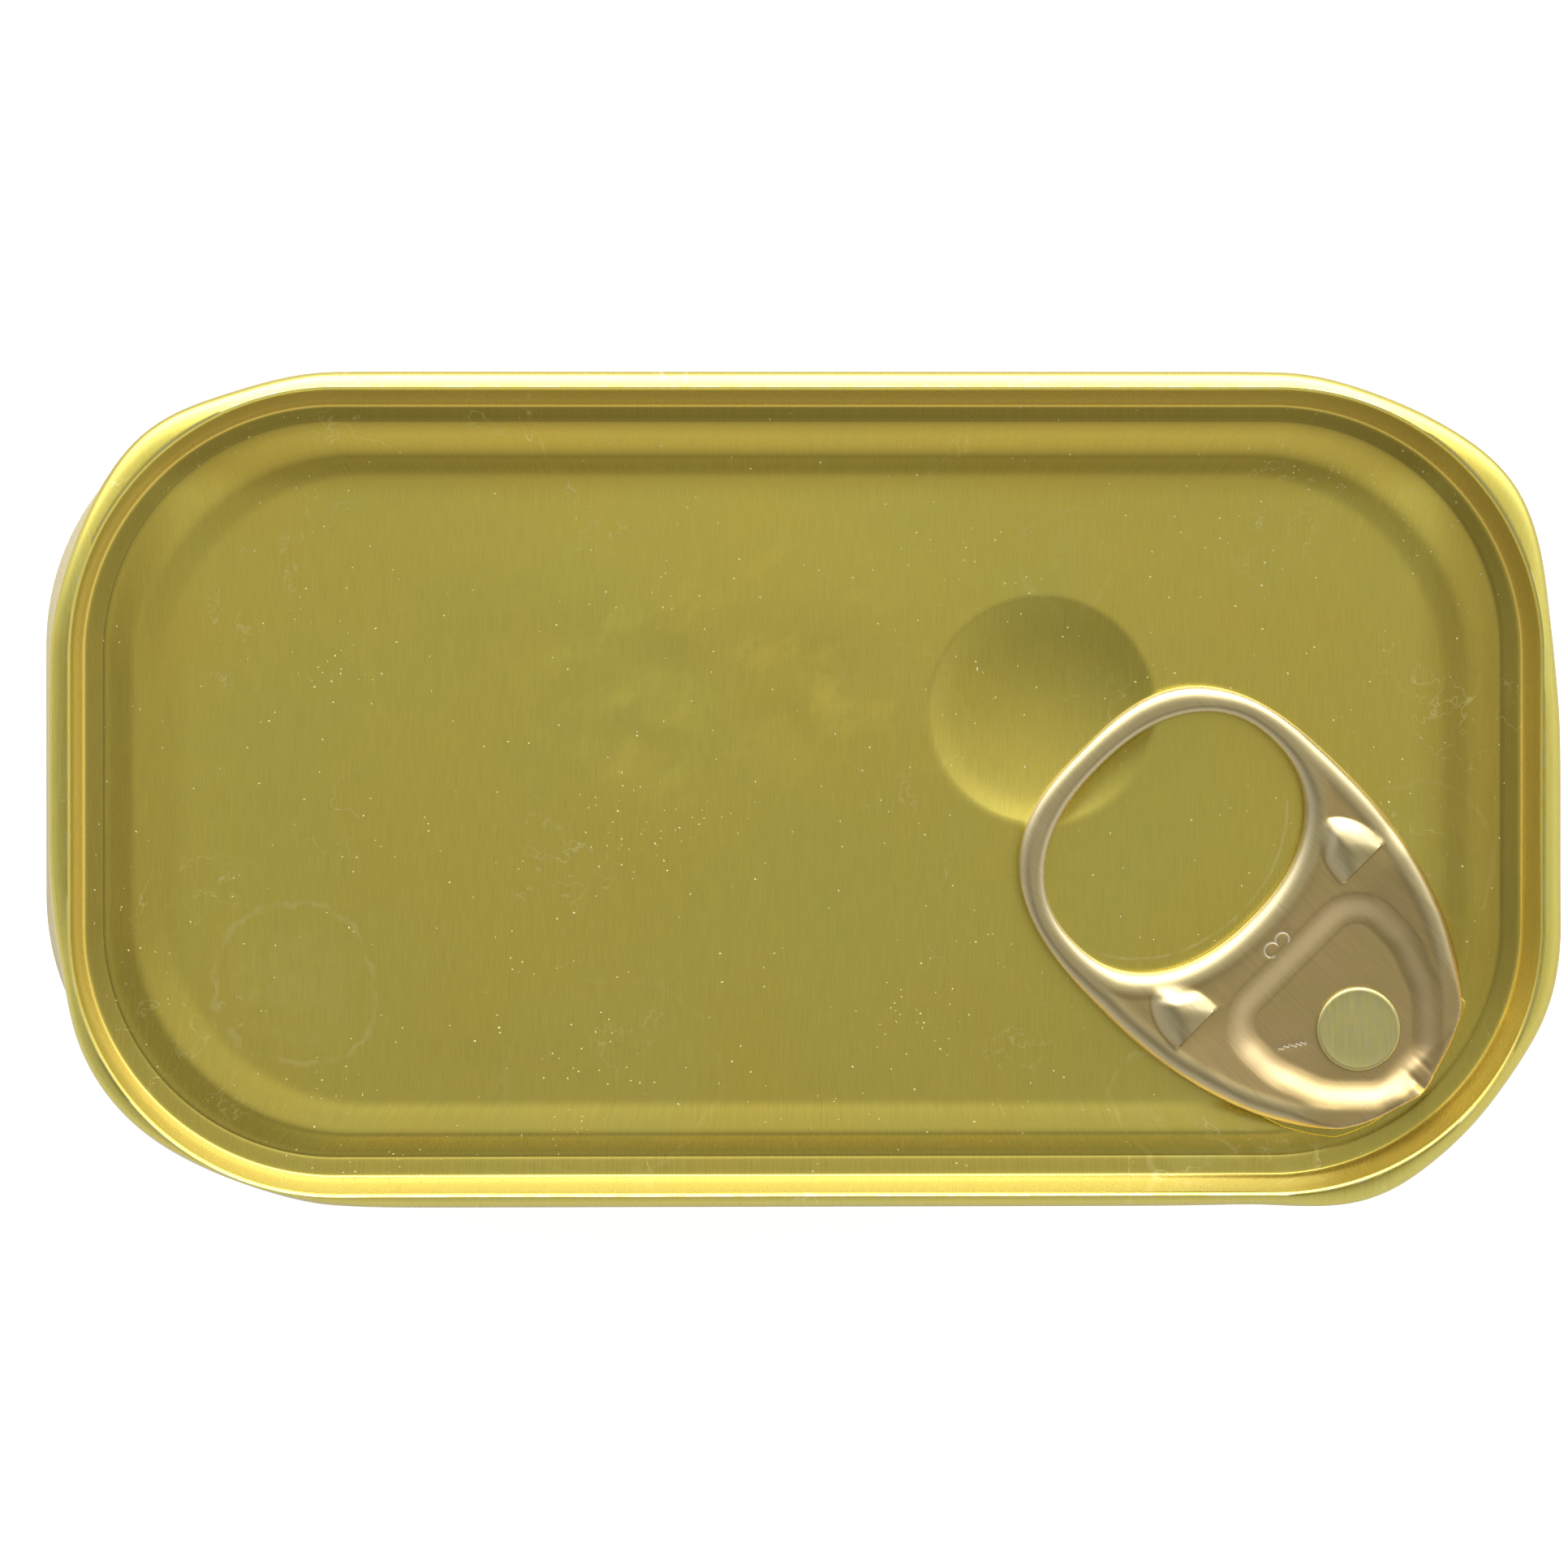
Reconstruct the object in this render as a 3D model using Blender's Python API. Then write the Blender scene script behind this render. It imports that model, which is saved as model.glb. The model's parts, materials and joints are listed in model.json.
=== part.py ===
"""Rectangular two-piece tin of luncheon meat, shut, with a ring-pull lid.

Three solids: the drawn body, the seamed lid with its rivet, and the ring pull.
Lengths are written in millimetres and become metres when a mesh is made.
X runs along the tin, Y across it, Z up from the face that it stands on.
"""

import math

import bmesh
import bpy
from mathutils import Matrix, Vector

MM = 0.001
GAP = 0.3                      # free space kept between two separate solids

# Outer form of the tin.
TIN_LENGTH = 98.4
TIN_WIDTH = 54.3
TIN_HEIGHT = 82.6
CORNER_RADIUS = 18.5
ARC_STEPS = 10                 # segments in each rounded corner
STRAIGHT_STEP = 4.5            # first point of a straight side past its corner

# Double seam that joins the lid to the body.
SEAM_HEIGHT = 3.0
SEAM_OVERHANG = 1.0            # the seam stands out this far from the body wall
SEAM_RIDGE_INSET = 1.0         # highest line of the seam, in from its outer face
SPREAD_REACH = 4.6

# Unevenness of the seam's outer face round each corner, listed counterclockwise from +X +Y:
# degrees from the start of the corner's arc, and how far the face moves out there.
SEAM_SPREADS = (
    ((7, -0.53), (37, 0.59), (70, -0.26)),
    ((19, -0.2), (40, 0.52), (73, -0.21)),
    ((10, -0.6), (61, -0.35), (76, -0.42)),
    ((0, -0.12), (19, 0.58), (58, -0.29), (70, 0.19)),
)

# Lid panel, as depths below the top of the seam.
PANEL_DEPTH = 3.8
LEDGE_DEPTH = 3.7              # ledge at the foot of the chuck wall
SCORE_INSET = 3.4
SCORE_WIDTH = 0.22
SCORE_DEPTH = 0.1
BEAD_INSET = 5.2
BEAD_END_INSET = 7.0
BEAD_RISE = 0.32
PLUG_DEPTH = 5.2               # underside of the lid
BODY_WALL = 0.4
END_STRETCH = 0.06             # the two short ends of the lid are drawn a little wider

# Finger dimple beside the ring.
DIMPLE_RADIUS = 7.3
DIMPLE_DEPTH = 0.55
DIMPLE_DISTANCE = 29.3         # from the rivet, along the ring pull's axis

# Base of the body.
BASE_RADIUS = 3.5
FOOT_WIDTH = 2.6
BASE_RECESS = 1.2

# Rivet, which is drawn up out of the lid panel.
RIVET_PLACE = (36.1, -15.7)
RIVET_STEM_RADIUS = 1.6
RIVET_HEAD_RADIUS = 2.75
RIVET_HEAD_THICKNESS = 0.45

# Ring pull. Its axis runs from the rivet to the ring; heights are above the lid panel.
PULL_DIRECTION = 135.0
PULL_HALF_WIDTH = 11.1
PULL_MIDDLE = 12.0             # distance from the rivet to the widest place
PULL_RING_REACH = 13.6         # from the widest place to the ring's far end
PULL_RING_FULLNESS = 2.9       # exponent of the ring's squarish round end
PULL_FLANK_REACH = 18.6        # half-height of the ellipse that the flanks follow
NOSE_HALF_WIDTH = 6.1
NOSE_TIP = -5.8
NOSE_RADIUS = 10.3
NOSE_LIP = 0.2                 # small tongue at the middle of the nose
NOSE_LIP_WIDTH = 1.2
HOLE_MIDDLE = 17.1
HOLE_HALF_WIDTH = 9.25
HOLE_HALF_HEIGHT = 6.95
HOLE_FULLNESS = 2.25
PULL_UNDERSIDE = 0.62
HEM_TOP = 2.1
HEM_WIDTH = 0.7
WEB_TOP = 1.95
ISLAND_TOP = 1.55
BEAD_TOP = 2.35
POCKET_CEILING = 1.0

# Domes pressed up beside the hole, each with its cut side towards the nose.
DOME_MIDDLES = (-7.5, 7.8)
DOME_HALF_WIDTH = 1.85
DOME_CUT = 7.6
DOME_LENGTH = 3.4
DOME_RISE = 0.75
DOME_FULLNESS = 2.2            # exponent of the dome's outline

# Corners as (half-width, distance along the axis, radius) from the ring side to the nose.
ISLAND_CORNERS = ((5.8, 5.8, 1.8), (5.4, 2.2, 4.0), (2.2, -3.45, 2.0))
RIM_CORNERS = ((7.4, 7.2, 3.2), (7.0, 1.6, 5.0), (2.9, -4.85, 2.4))
POCKET_CORNERS = ((8.6, 8.2, 1.5), (7.2, 1.0, 4.0), (3.4, -3.6, 1.6))

LACQUER = ((0.80, 0.66, 0.22, 1.0), 0.32, 1.0)
PULL_METAL = ((0.70, 0.60, 0.44, 1.0), 0.30, 1.0)


def clear_scene():
    for item in list(bpy.data.objects):
        bpy.data.objects.remove(item)


def metal(name, finish):
    colour, roughness, metallic = finish
    material = bpy.data.materials.new(name)
    material.use_nodes = True
    shader = material.node_tree.nodes["Principled BSDF"]
    shader.inputs["Base Color"].default_value = colour
    shader.inputs["Roughness"].default_value = roughness
    shader.inputs["Metallic"].default_value = metallic
    return material


# Meshes are built from closed rings of vertices, joined by bands and flat faces.

def add_ring(mesh, points, height):
    return [mesh.verts.new((x, y, height)) for x, y in points]


def add_band(mesh, first, second):
    for index, start in enumerate(first):
        following = (index + 1) % len(first)
        mesh.faces.new((start, first[following], second[following], second[index]))


def add_bands(mesh, rings):
    for first, second in zip(rings, rings[1:]):
        add_band(mesh, first, second)


def ring_edges(mesh, ring):
    edges = []
    for index, start in enumerate(ring):
        end = ring[(index + 1) % len(ring)]
        edges.append(mesh.edges.get((start, end)) or mesh.edges.new((start, end)))
    return edges


def fill_flat(mesh, outer, *holes):
    """Close a flat area that may have holes in it."""
    edges = ring_edges(mesh, outer)
    for hole in holes:
        edges += ring_edges(mesh, hole)
    bmesh.ops.triangle_fill(mesh, edges=edges, use_beauty=True)


def finish_object(mesh, name, material, place=Matrix.Identity(4), sharp_angle=32.0):
    bmesh.ops.recalc_face_normals(mesh, faces=mesh.faces)
    bmesh.ops.transform(mesh, matrix=Matrix.Scale(MM, 4) @ place, verts=mesh.verts)
    data = bpy.data.meshes.new(name)
    mesh.to_mesh(data)
    mesh.free()
    data.materials.append(material)
    data.shade_smooth()
    data.set_sharp_from_angle(angle=math.radians(sharp_angle))
    item = bpy.data.objects.new(name, data)
    bpy.context.collection.objects.link(item)
    return item


# Outlines.

def circle(radius, steps, centre=(0.0, 0.0)):
    points = []
    for step in range(steps):
        angle = math.tau * step / steps
        points.append((centre[0] + radius * math.cos(angle), centre[1] + radius * math.sin(angle)))
    return points


def panel_radius(inset):
    """Corner radius of the tin's outline at an inset; past the score it shrinks more slowly."""
    return CORNER_RADIUS - min(inset, SCORE_INSET) - 0.45 * max(0.0, inset - SCORE_INSET)


def seam_spread(corner, distance):
    """How far the seam's outer face moves out, at a distance along it from a corner's middle."""
    spread = 0.0
    for degrees, amount in SEAM_SPREADS[corner]:
        place = CORNER_RADIUS * math.radians(degrees - 45.0)
        spread += amount * math.exp(-((distance - place) / SPREAD_REACH) ** 2)
    return spread


def tin_outline(inset, spread=0.0):
    """Rounded rectangle inside the tin's outline. Spread, 0 to 1, adds the corners' unevenness."""
    half_length = TIN_LENGTH / 2.0 - inset * (1.0 + END_STRETCH)
    half_width = TIN_WIDTH / 2.0 - inset * (1.0 - END_STRETCH)
    radius = panel_radius(inset)
    quarter = math.pi / 4.0
    half_sides = (half_length - radius, half_width - radius)
    points = []
    for corner, (side_x, side_y) in enumerate(((1, 1), (-1, 1), (-1, -1), (1, -1))):
        centre = Vector((side_x * half_sides[0], side_y * half_sides[1]))
        samples = [(-quarter, -STRAIGHT_STEP)]
        samples += [(quarter * (2.0 * step / ARC_STEPS - 1.0), 0.0) for step in range(ARC_STEPS + 1)]
        samples += [(quarter, STRAIGHT_STEP), (quarter, half_sides[corner % 2])]
        for turn, beyond in samples:
            angle = math.radians(45.0 + 90.0 * corner) + turn
            outward = Vector((math.cos(angle), math.sin(angle)))
            along = Vector((-outward.y, outward.x))
            reach = CORNER_RADIUS * turn + beyond
            point = centre + outward * (radius + spread * seam_spread(corner, reach)) + along * beyond
            points.append((point.x, point.y))
    return points


def rounded_outline(corners, arc_steps):
    """Mirror-symmetric outline with rounded corners, listed down its +X side."""
    full = [Vector((x, y)) for x, y, _ in corners] + [Vector((-x, y)) for x, y, _ in reversed(corners)]
    radii = [radius for _, _, radius in corners]
    radii += radii[::-1]
    points = []
    for index, corner in enumerate(full):
        to_last = (full[index - 1] - corner).normalized()
        to_next = (full[(index + 1) % len(full)] - corner).normalized()
        half_angle = to_last.angle(to_next) / 2.0
        middle = corner + (to_last + to_next).normalized() * (radii[index] / math.sin(half_angle))
        start = corner + to_last * (radii[index] / math.tan(half_angle)) - middle
        sweep = to_last.angle_signed(to_next)
        turn = math.copysign(math.pi - abs(sweep), sweep)
        for step in range(arc_steps + 1):
            spoke = start.copy()
            spoke.rotate(Matrix.Rotation(turn * step / arc_steps, 2))
            points.append(tuple(middle + spoke))
    return points


def superellipse_point(angle, half_width, half_height, fullness):
    across = abs(math.cos(angle)) ** (2.0 / fullness) * half_width
    along = abs(math.sin(angle)) ** (2.0 / fullness) * half_height
    return math.copysign(across, math.cos(angle)), math.copysign(along, math.sin(angle))


def nose_height(across):
    rise = NOSE_RADIUS - math.sqrt(NOSE_RADIUS ** 2 - across ** 2)
    return NOSE_TIP + rise - NOSE_LIP * math.exp(-(across / NOSE_LIP_WIDTH) ** 2)


def pull_outline(ring_steps=30, flank_steps=9, nose_steps=10):
    """Outer edge of the ring pull: squarish ring end, elliptic flanks and a shallow round nose."""
    points = []
    for step in range(ring_steps + 1):
        angle = math.pi * step / ring_steps
        x, y = superellipse_point(angle, PULL_HALF_WIDTH, PULL_RING_REACH, PULL_RING_FULLNESS)
        points.append((x, PULL_MIDDLE + y))
    flank_end = math.acos(NOSE_HALF_WIDTH / PULL_HALF_WIDTH)
    for step in range(1, flank_steps + 1):
        angle = math.pi + flank_end * step / flank_steps
        x = PULL_HALF_WIDTH * math.cos(angle)
        points.append((x, PULL_MIDDLE + PULL_FLANK_REACH * math.sin(angle)))
    for step in range(1, nose_steps):
        x = NOSE_HALF_WIDTH * (2.0 * step / nose_steps - 1.0)
        points.append((x, nose_height(x)))
    for step in range(flank_steps, 0, -1):
        angle = -flank_end * step / flank_steps
        x = PULL_HALF_WIDTH * math.cos(angle)
        points.append((x, PULL_MIDDLE + PULL_FLANK_REACH * math.sin(angle)))
    return points


def hole_outline(steps=40):
    points = []
    for step in range(steps):
        angle = math.tau * step / steps
        x, y = superellipse_point(angle, HOLE_HALF_WIDTH, HOLE_HALF_HEIGHT, HOLE_FULLNESS)
        points.append((x, HOLE_MIDDLE + y))
    return points


def shifted(points, distance):
    """Move a counterclockwise outline inwards by a distance, or outwards if it is negative."""
    moved = []
    for index, (x, y) in enumerate(points):
        before = Vector(points[index - 1])
        after = Vector(points[(index + 1) % len(points)])
        here = Vector((x, y))
        first = (here - before).normalized()
        second = (after - here).normalized()
        inward = (Vector((-first.y, first.x)) + Vector((-second.y, second.x))).normalized()
        lean = max(0.5, inward.dot(Vector((-first.y, first.x))))
        moved.append(tuple(here + inward * (distance / lean)))
    return moved


def blended(first, second, share):
    return [tuple(Vector(a).lerp(Vector(b), share)) for a, b in zip(first, second)]


# Sub-parts.

def seam_profile():
    """Seam from its lower edge over the ridge: inset, depth and share of the corner spread."""
    shoulder = []
    for step in range(6):
        angle = math.pi / 2.0 * step / 5.0
        inset = SEAM_RIDGE_INSET * (1.0 - math.cos(angle))
        depth = 1.1 * (1.0 - math.sin(angle))
        shoulder.append((inset, depth, math.cos(angle)))
    lower = [(0.4, SEAM_HEIGHT, 0.9), (0.08, SEAM_HEIGHT - 0.3, 1.0)]
    inside = [(1.18, 0.03, 0.0), (1.32, 0.15, 0.0), (1.4, 0.45, 0.0)]
    return lower + shoulder + inside


def panel_profile():
    """Chuck wall, ledge, score line and bead down to the panel: inset and depth."""
    foot = [(2.02, 3.1), (2.1, 3.4), (2.25, 3.6), (2.5, LEDGE_DEPTH)]
    half = SCORE_WIDTH / 2.0
    ledge_end = LEDGE_DEPTH + 0.12
    score = [
        (SCORE_INSET - half, ledge_end),
        (SCORE_INSET, ledge_end + SCORE_DEPTH),
        (SCORE_INSET + half, ledge_end),
    ]
    bead = []
    steps = 4
    start = SCORE_INSET + half
    crest = PANEL_DEPTH - BEAD_RISE
    for step in range(1, steps + 1):
        share = step / steps
        ease = (1.0 - math.cos(math.pi * share)) / 2.0
        bead.append((start + (BEAD_INSET - start) * share, ledge_end + (crest - ledge_end) * ease))
    for step in range(1, steps + 1):
        share = step / steps
        ease = (1.0 - math.cos(math.pi * share)) / 2.0
        bead.append((BEAD_INSET + (BEAD_END_INSET - BEAD_INSET) * share, crest + BEAD_RISE * ease))
    return foot + score + bead


def rivet_rings(mesh, panel_height):
    """Rings of the rivet from its foot to its head, which the ring pull's island lies under."""
    head_bottom = ISLAND_TOP + GAP
    head_top = head_bottom + RIVET_HEAD_THICKNESS
    bevel = 0.14
    profile = [
        (RIVET_STEM_RADIUS + 0.15, 0.0),
        (RIVET_STEM_RADIUS, 0.25),
        (RIVET_STEM_RADIUS, head_bottom),
        (RIVET_HEAD_RADIUS - bevel, head_bottom),
        (RIVET_HEAD_RADIUS, head_bottom + bevel),
        (RIVET_HEAD_RADIUS, head_top - bevel),
        (RIVET_HEAD_RADIUS - bevel, head_top),
    ]
    steps = 28
    return [add_ring(mesh, circle(r, steps, RIVET_PLACE), panel_height + z) for r, z in profile]


def dimple_rings(mesh, panel_height):
    angle = math.radians(PULL_DIRECTION)
    centre = (
        RIVET_PLACE[0] + DIMPLE_DISTANCE * math.cos(angle),
        RIVET_PLACE[1] + DIMPLE_DISTANCE * math.sin(angle),
    )
    rings = []
    steps = 5
    flat_radius = DIMPLE_RADIUS * 0.45
    for step in range(steps + 1):
        share = step / steps
        radius = DIMPLE_RADIUS + (flat_radius - DIMPLE_RADIUS) * share
        depth = DIMPLE_DEPTH * (1.0 - math.cos(math.pi * share)) / 2.0
        rings.append(add_ring(mesh, circle(radius, 32, centre), panel_height - depth))
    return rings


def build_lid(material):
    """Seamed lid: seam, chuck wall, ledge, score, bead, panel, dimple and rivet in one solid."""
    mesh = bmesh.new()
    plug_inset = SEAM_OVERHANG + BODY_WALL + GAP
    underside = [
        add_ring(mesh, tin_outline(plug_inset), TIN_HEIGHT - PLUG_DEPTH),
        add_ring(mesh, tin_outline(plug_inset), TIN_HEIGHT - SEAM_HEIGHT),
    ]
    top = [add_ring(mesh, tin_outline(inset, spread), TIN_HEIGHT - depth)
           for inset, depth, spread in seam_profile()]
    top += [add_ring(mesh, tin_outline(inset), TIN_HEIGHT - depth)
            for inset, depth in panel_profile()]
    add_bands(mesh, underside + top)
    fill_flat(mesh, underside[0])
    panel_height = TIN_HEIGHT - PANEL_DEPTH
    rivet = rivet_rings(mesh, panel_height)
    dimple = dimple_rings(mesh, panel_height)
    add_bands(mesh, rivet)
    add_bands(mesh, dimple)
    fill_flat(mesh, top[-1], rivet[0], dimple[0])
    fill_flat(mesh, rivet[-1])
    fill_flat(mesh, dimple[-1])
    return finish_object(mesh, "lid", material)


def base_profile():
    """Body wall's lower edge, foot and base recess: inset and height."""
    profile = []
    for step in range(6):
        angle = math.pi / 2.0 * step / 5.0
        inset = SEAM_OVERHANG + BASE_RADIUS * (1.0 - math.cos(angle))
        profile.append((inset, BASE_RADIUS * (1.0 - math.sin(angle))))
    foot_end = SEAM_OVERHANG + BASE_RADIUS + FOOT_WIDTH
    profile += [(foot_end, 0.0), (foot_end + 0.35, 0.25), (foot_end + 0.7, BASE_RECESS - 0.25)]
    profile += [(foot_end + 1.1, BASE_RECESS)]
    return profile


def build_body(material):
    """Drawn body with its contents: closed under the lid, with a foot round a shallow recess."""
    mesh = bmesh.new()
    wall_top = TIN_HEIGHT - SEAM_HEIGHT - GAP
    fill_top = TIN_HEIGHT - PLUG_DEPTH - GAP
    wall_inside = SEAM_OVERHANG + BODY_WALL
    profile = [(wall_inside, fill_top), (wall_inside, wall_top), (SEAM_OVERHANG, wall_top)]
    profile += base_profile()
    rings = [add_ring(mesh, tin_outline(inset), height) for inset, height in profile]
    add_bands(mesh, rings)
    fill_flat(mesh, rings[0])
    fill_flat(mesh, rings[-1])
    return finish_object(mesh, "can_body", material)


def hem_rings(mesh, outline, direction):
    """Rolled hem along an outline, from its underside over its top to the web."""
    middle = (PULL_UNDERSIDE + HEM_TOP) / 2.0
    profile = [
        (0.30, PULL_UNDERSIDE),
        (0.07, PULL_UNDERSIDE + 0.22),
        (0.0, middle),
        (0.07, HEM_TOP - 0.3),
        (0.22, HEM_TOP - 0.08),
        (0.42, HEM_TOP),
        (HEM_WIDTH, WEB_TOP),
    ]
    return [add_ring(mesh, shifted(outline, direction * inset), height) for inset, height in profile]


def dome_rings(mesh, middle):
    """Pressed dome: round towards the ring, straight and steep where it is cut."""
    base = []
    steps = 12
    for step in range(steps + 1):
        angle = math.pi * step / steps
        x, y = superellipse_point(angle, DOME_HALF_WIDTH, DOME_LENGTH, DOME_FULLNESS)
        base.append((x, y))
    rings = []
    for scale, rise in ((1.0, 0.0), (0.86, 0.42), (0.6, 0.85), (0.3, 1.0)):
        points = [(middle + x * scale, DOME_CUT + 0.25 * (1.0 - scale) + y * scale) for x, y in base]
        rings.append(add_ring(mesh, points, WEB_TOP + DOME_RISE * rise))
    return rings


def island_rings(mesh):
    """Raised bead round the rivet, from the web over its crest down to the flat island."""
    rim = rounded_outline(RIM_CORNERS, 6)
    island = rounded_outline(ISLAND_CORNERS, 6)
    profile = [
        (0.0, WEB_TOP),
        (0.25, (WEB_TOP + BEAD_TOP) / 2.0),
        (0.5, BEAD_TOP),
        (0.78, (ISLAND_TOP + BEAD_TOP) / 2.0),
        (1.0, ISLAND_TOP),
    ]
    return [add_ring(mesh, blended(rim, island, share), height) for share, height in profile]


def build_ring_pull(material):
    """Ring pull: hemmed edge and finger hole, web, bead, island and a hollow underside."""
    mesh = bmesh.new()
    edge = hem_rings(mesh, pull_outline(), 1.0)
    hole = hem_rings(mesh, hole_outline(), -1.0)
    bead = island_rings(mesh)
    domes = [dome_rings(mesh, middle) for middle in DOME_MIDDLES]
    pocket_shape = rounded_outline(POCKET_CORNERS, 5)
    pocket = [add_ring(mesh, pocket_shape, PULL_UNDERSIDE), add_ring(mesh, pocket_shape, POCKET_CEILING)]
    rivet_shape = circle(RIVET_STEM_RADIUS + GAP, 24)
    rivet_hole = [add_ring(mesh, rivet_shape, POCKET_CEILING), add_ring(mesh, rivet_shape, ISLAND_TOP)]
    for rings in [edge, hole, bead, pocket, rivet_hole] + domes:
        add_bands(mesh, rings)
    fill_flat(mesh, edge[-1], hole[-1], bead[0], *(rings[0] for rings in domes))
    fill_flat(mesh, bead[-1], rivet_hole[1])
    fill_flat(mesh, pocket[1], rivet_hole[0])
    fill_flat(mesh, edge[0], hole[0], pocket[0])
    for rings in domes:
        fill_flat(mesh, rings[-1])
    turn = Matrix.Rotation(math.radians(PULL_DIRECTION - 90.0), 4, "Z")
    place = Matrix.Translation((*RIVET_PLACE, TIN_HEIGHT - PANEL_DEPTH)) @ turn
    return finish_object(mesh, "ring_pull", material, place)


def main():
    clear_scene()
    build_body(metal("can_body", LACQUER))
    build_lid(metal("lid", LACQUER))
    build_ring_pull(metal("ring_pull", PULL_METAL))


main()
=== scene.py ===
import json
import math

import bmesh
import bpy
import numpy as np
from mathutils import Matrix, Vector, kdtree
from mathutils.geometry import delaunay_2d_cdt

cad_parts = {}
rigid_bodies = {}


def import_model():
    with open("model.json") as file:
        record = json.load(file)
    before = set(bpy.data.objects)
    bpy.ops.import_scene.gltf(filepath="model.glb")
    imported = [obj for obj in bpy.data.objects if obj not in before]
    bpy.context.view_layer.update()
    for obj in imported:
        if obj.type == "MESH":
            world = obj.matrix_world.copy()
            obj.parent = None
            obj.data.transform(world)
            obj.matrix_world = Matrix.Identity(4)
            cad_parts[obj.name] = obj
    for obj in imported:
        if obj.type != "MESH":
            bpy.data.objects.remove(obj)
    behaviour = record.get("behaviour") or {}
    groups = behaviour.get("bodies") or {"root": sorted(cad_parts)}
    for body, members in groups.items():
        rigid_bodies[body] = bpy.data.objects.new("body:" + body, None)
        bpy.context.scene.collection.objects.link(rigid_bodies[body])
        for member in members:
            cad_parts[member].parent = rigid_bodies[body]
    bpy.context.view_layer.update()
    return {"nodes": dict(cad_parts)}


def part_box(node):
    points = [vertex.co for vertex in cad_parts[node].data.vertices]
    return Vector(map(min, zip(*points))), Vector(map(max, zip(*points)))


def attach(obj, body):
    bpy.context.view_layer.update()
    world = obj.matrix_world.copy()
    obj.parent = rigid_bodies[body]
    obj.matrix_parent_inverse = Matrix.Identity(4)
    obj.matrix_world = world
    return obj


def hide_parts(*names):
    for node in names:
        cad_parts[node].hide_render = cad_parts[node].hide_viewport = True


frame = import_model()
print("frame loaded:", ", ".join(sorted(frame["nodes"])))

# Lengths are millimetres throughout; a mesh is brought to metres when it is made.
mm = 0.001
lidLow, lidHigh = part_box("lid")
tin = {
    "length": (lidHigh.x - lidLow.x) / mm - 0.07,
    "width": (lidHigh.y - lidLow.y) / mm - 0.1,
    "height": lidHigh.z / mm,
    "cornerRadius": 18.5,
    "endStretch": 0.06,         # the short ends are drawn a little wider
    "seamHeight": 3.0,
    "panelDepth": 3.8,
    "scoreInset": 3.4,
    "rivet": (36.1, -15.7),
    "pullTurn": 45.0,           # the ring pull's own upright is turned by this
}
panelTop = tin["height"] - tin["panelDepth"]


def addObject(name, data):
    thing = bpy.data.objects.new(name, data)
    bpy.context.scene.collection.objects.link(thing)
    return thing


# Small helpers for outlines, all on arrays of points.

def ease(share):
    share = np.clip(share, 0.0, 1.0)
    return share * share * (3.0 - 2.0 * share)


def bell(distance, reach):
    return np.exp(-(distance / reach) ** 2)


def lengthAlong(loop):
    closed = np.vstack([loop, loop[:1]])
    return np.concatenate([[0.0], np.cumsum(np.linalg.norm(np.diff(closed, axis=0), axis=1))])


def evenly(loop, spacing):
    closed = np.vstack([loop, loop[:1]])
    reach = lengthAlong(loop)
    count = max(12, round(reach[-1] / spacing))
    places = np.linspace(0.0, reach[-1], count, endpoint=False)
    return np.column_stack([np.interp(places, reach, closed[:, axis]) for axis in (0, 1)])


def inwardNormals(loop):
    # for a loop that runs counterclockwise
    along = np.roll(loop, -1, axis=0) - np.roll(loop, 1, axis=0)
    along /= np.linalg.norm(along, axis=1)[:, None]
    return np.column_stack([-along[:, 1], along[:, 0]])


def inLoop(points, loop):
    x, y = points[:, 0][:, None], points[:, 1][:, None]
    ax, ay = loop[:, 0], loop[:, 1]
    bx, by = np.roll(ax, -1), np.roll(ay, -1)
    rise = np.where(by == ay, 1e-12, by - ay)
    crosses = ((ay > y) != (by > y)) & (x < (bx - ax) * (y - ay) / rise + ax)
    return crosses.sum(axis=1) % 2 == 1


def distanceTo(points, line, closed=True):
    points = np.asarray(points, dtype=float)
    starts = line if closed else line[:-1]
    ends = np.roll(line, -1, axis=0) if closed else line[1:]
    run = ends - starts
    square = np.maximum((run ** 2).sum(axis=1), 1e-12)
    found = []
    for part in np.array_split(points, max(1, len(points) // 3000)):
        offset = part[:, None, :] - starts[None]
        share = np.clip((offset * run[None]).sum(axis=2) / square, 0.0, 1.0)
        gap = offset - share[..., None] * run[None]
        found.append(np.sqrt((gap ** 2).sum(axis=2)).min(axis=1))
    return np.concatenate(found)


def gridPoints(low, high, spacing):
    xs = np.arange(low[0], high[0], spacing)
    ys = np.arange(low[1], high[1], spacing)
    across, up = np.meshgrid(xs, ys)
    return np.column_stack([across.ravel(), up.ravel()])


def spaced(groups, closest=0.62):
    # Later groups give way to earlier ones, so fine places keep their own points.
    kept = np.zeros((0, 2))
    for points, spacing in groups:
        if len(kept) and len(points):
            tree = kdtree.KDTree(len(kept))
            for index, point in enumerate(kept):
                tree.insert((point[0], point[1], 0.0), index)
            tree.balance()
            free = [tree.find((x, y, 0.0))[2] > closest * spacing for x, y in points]
            points = points[np.array(free)]
        kept = np.vstack([kept, points])
    return kept


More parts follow.
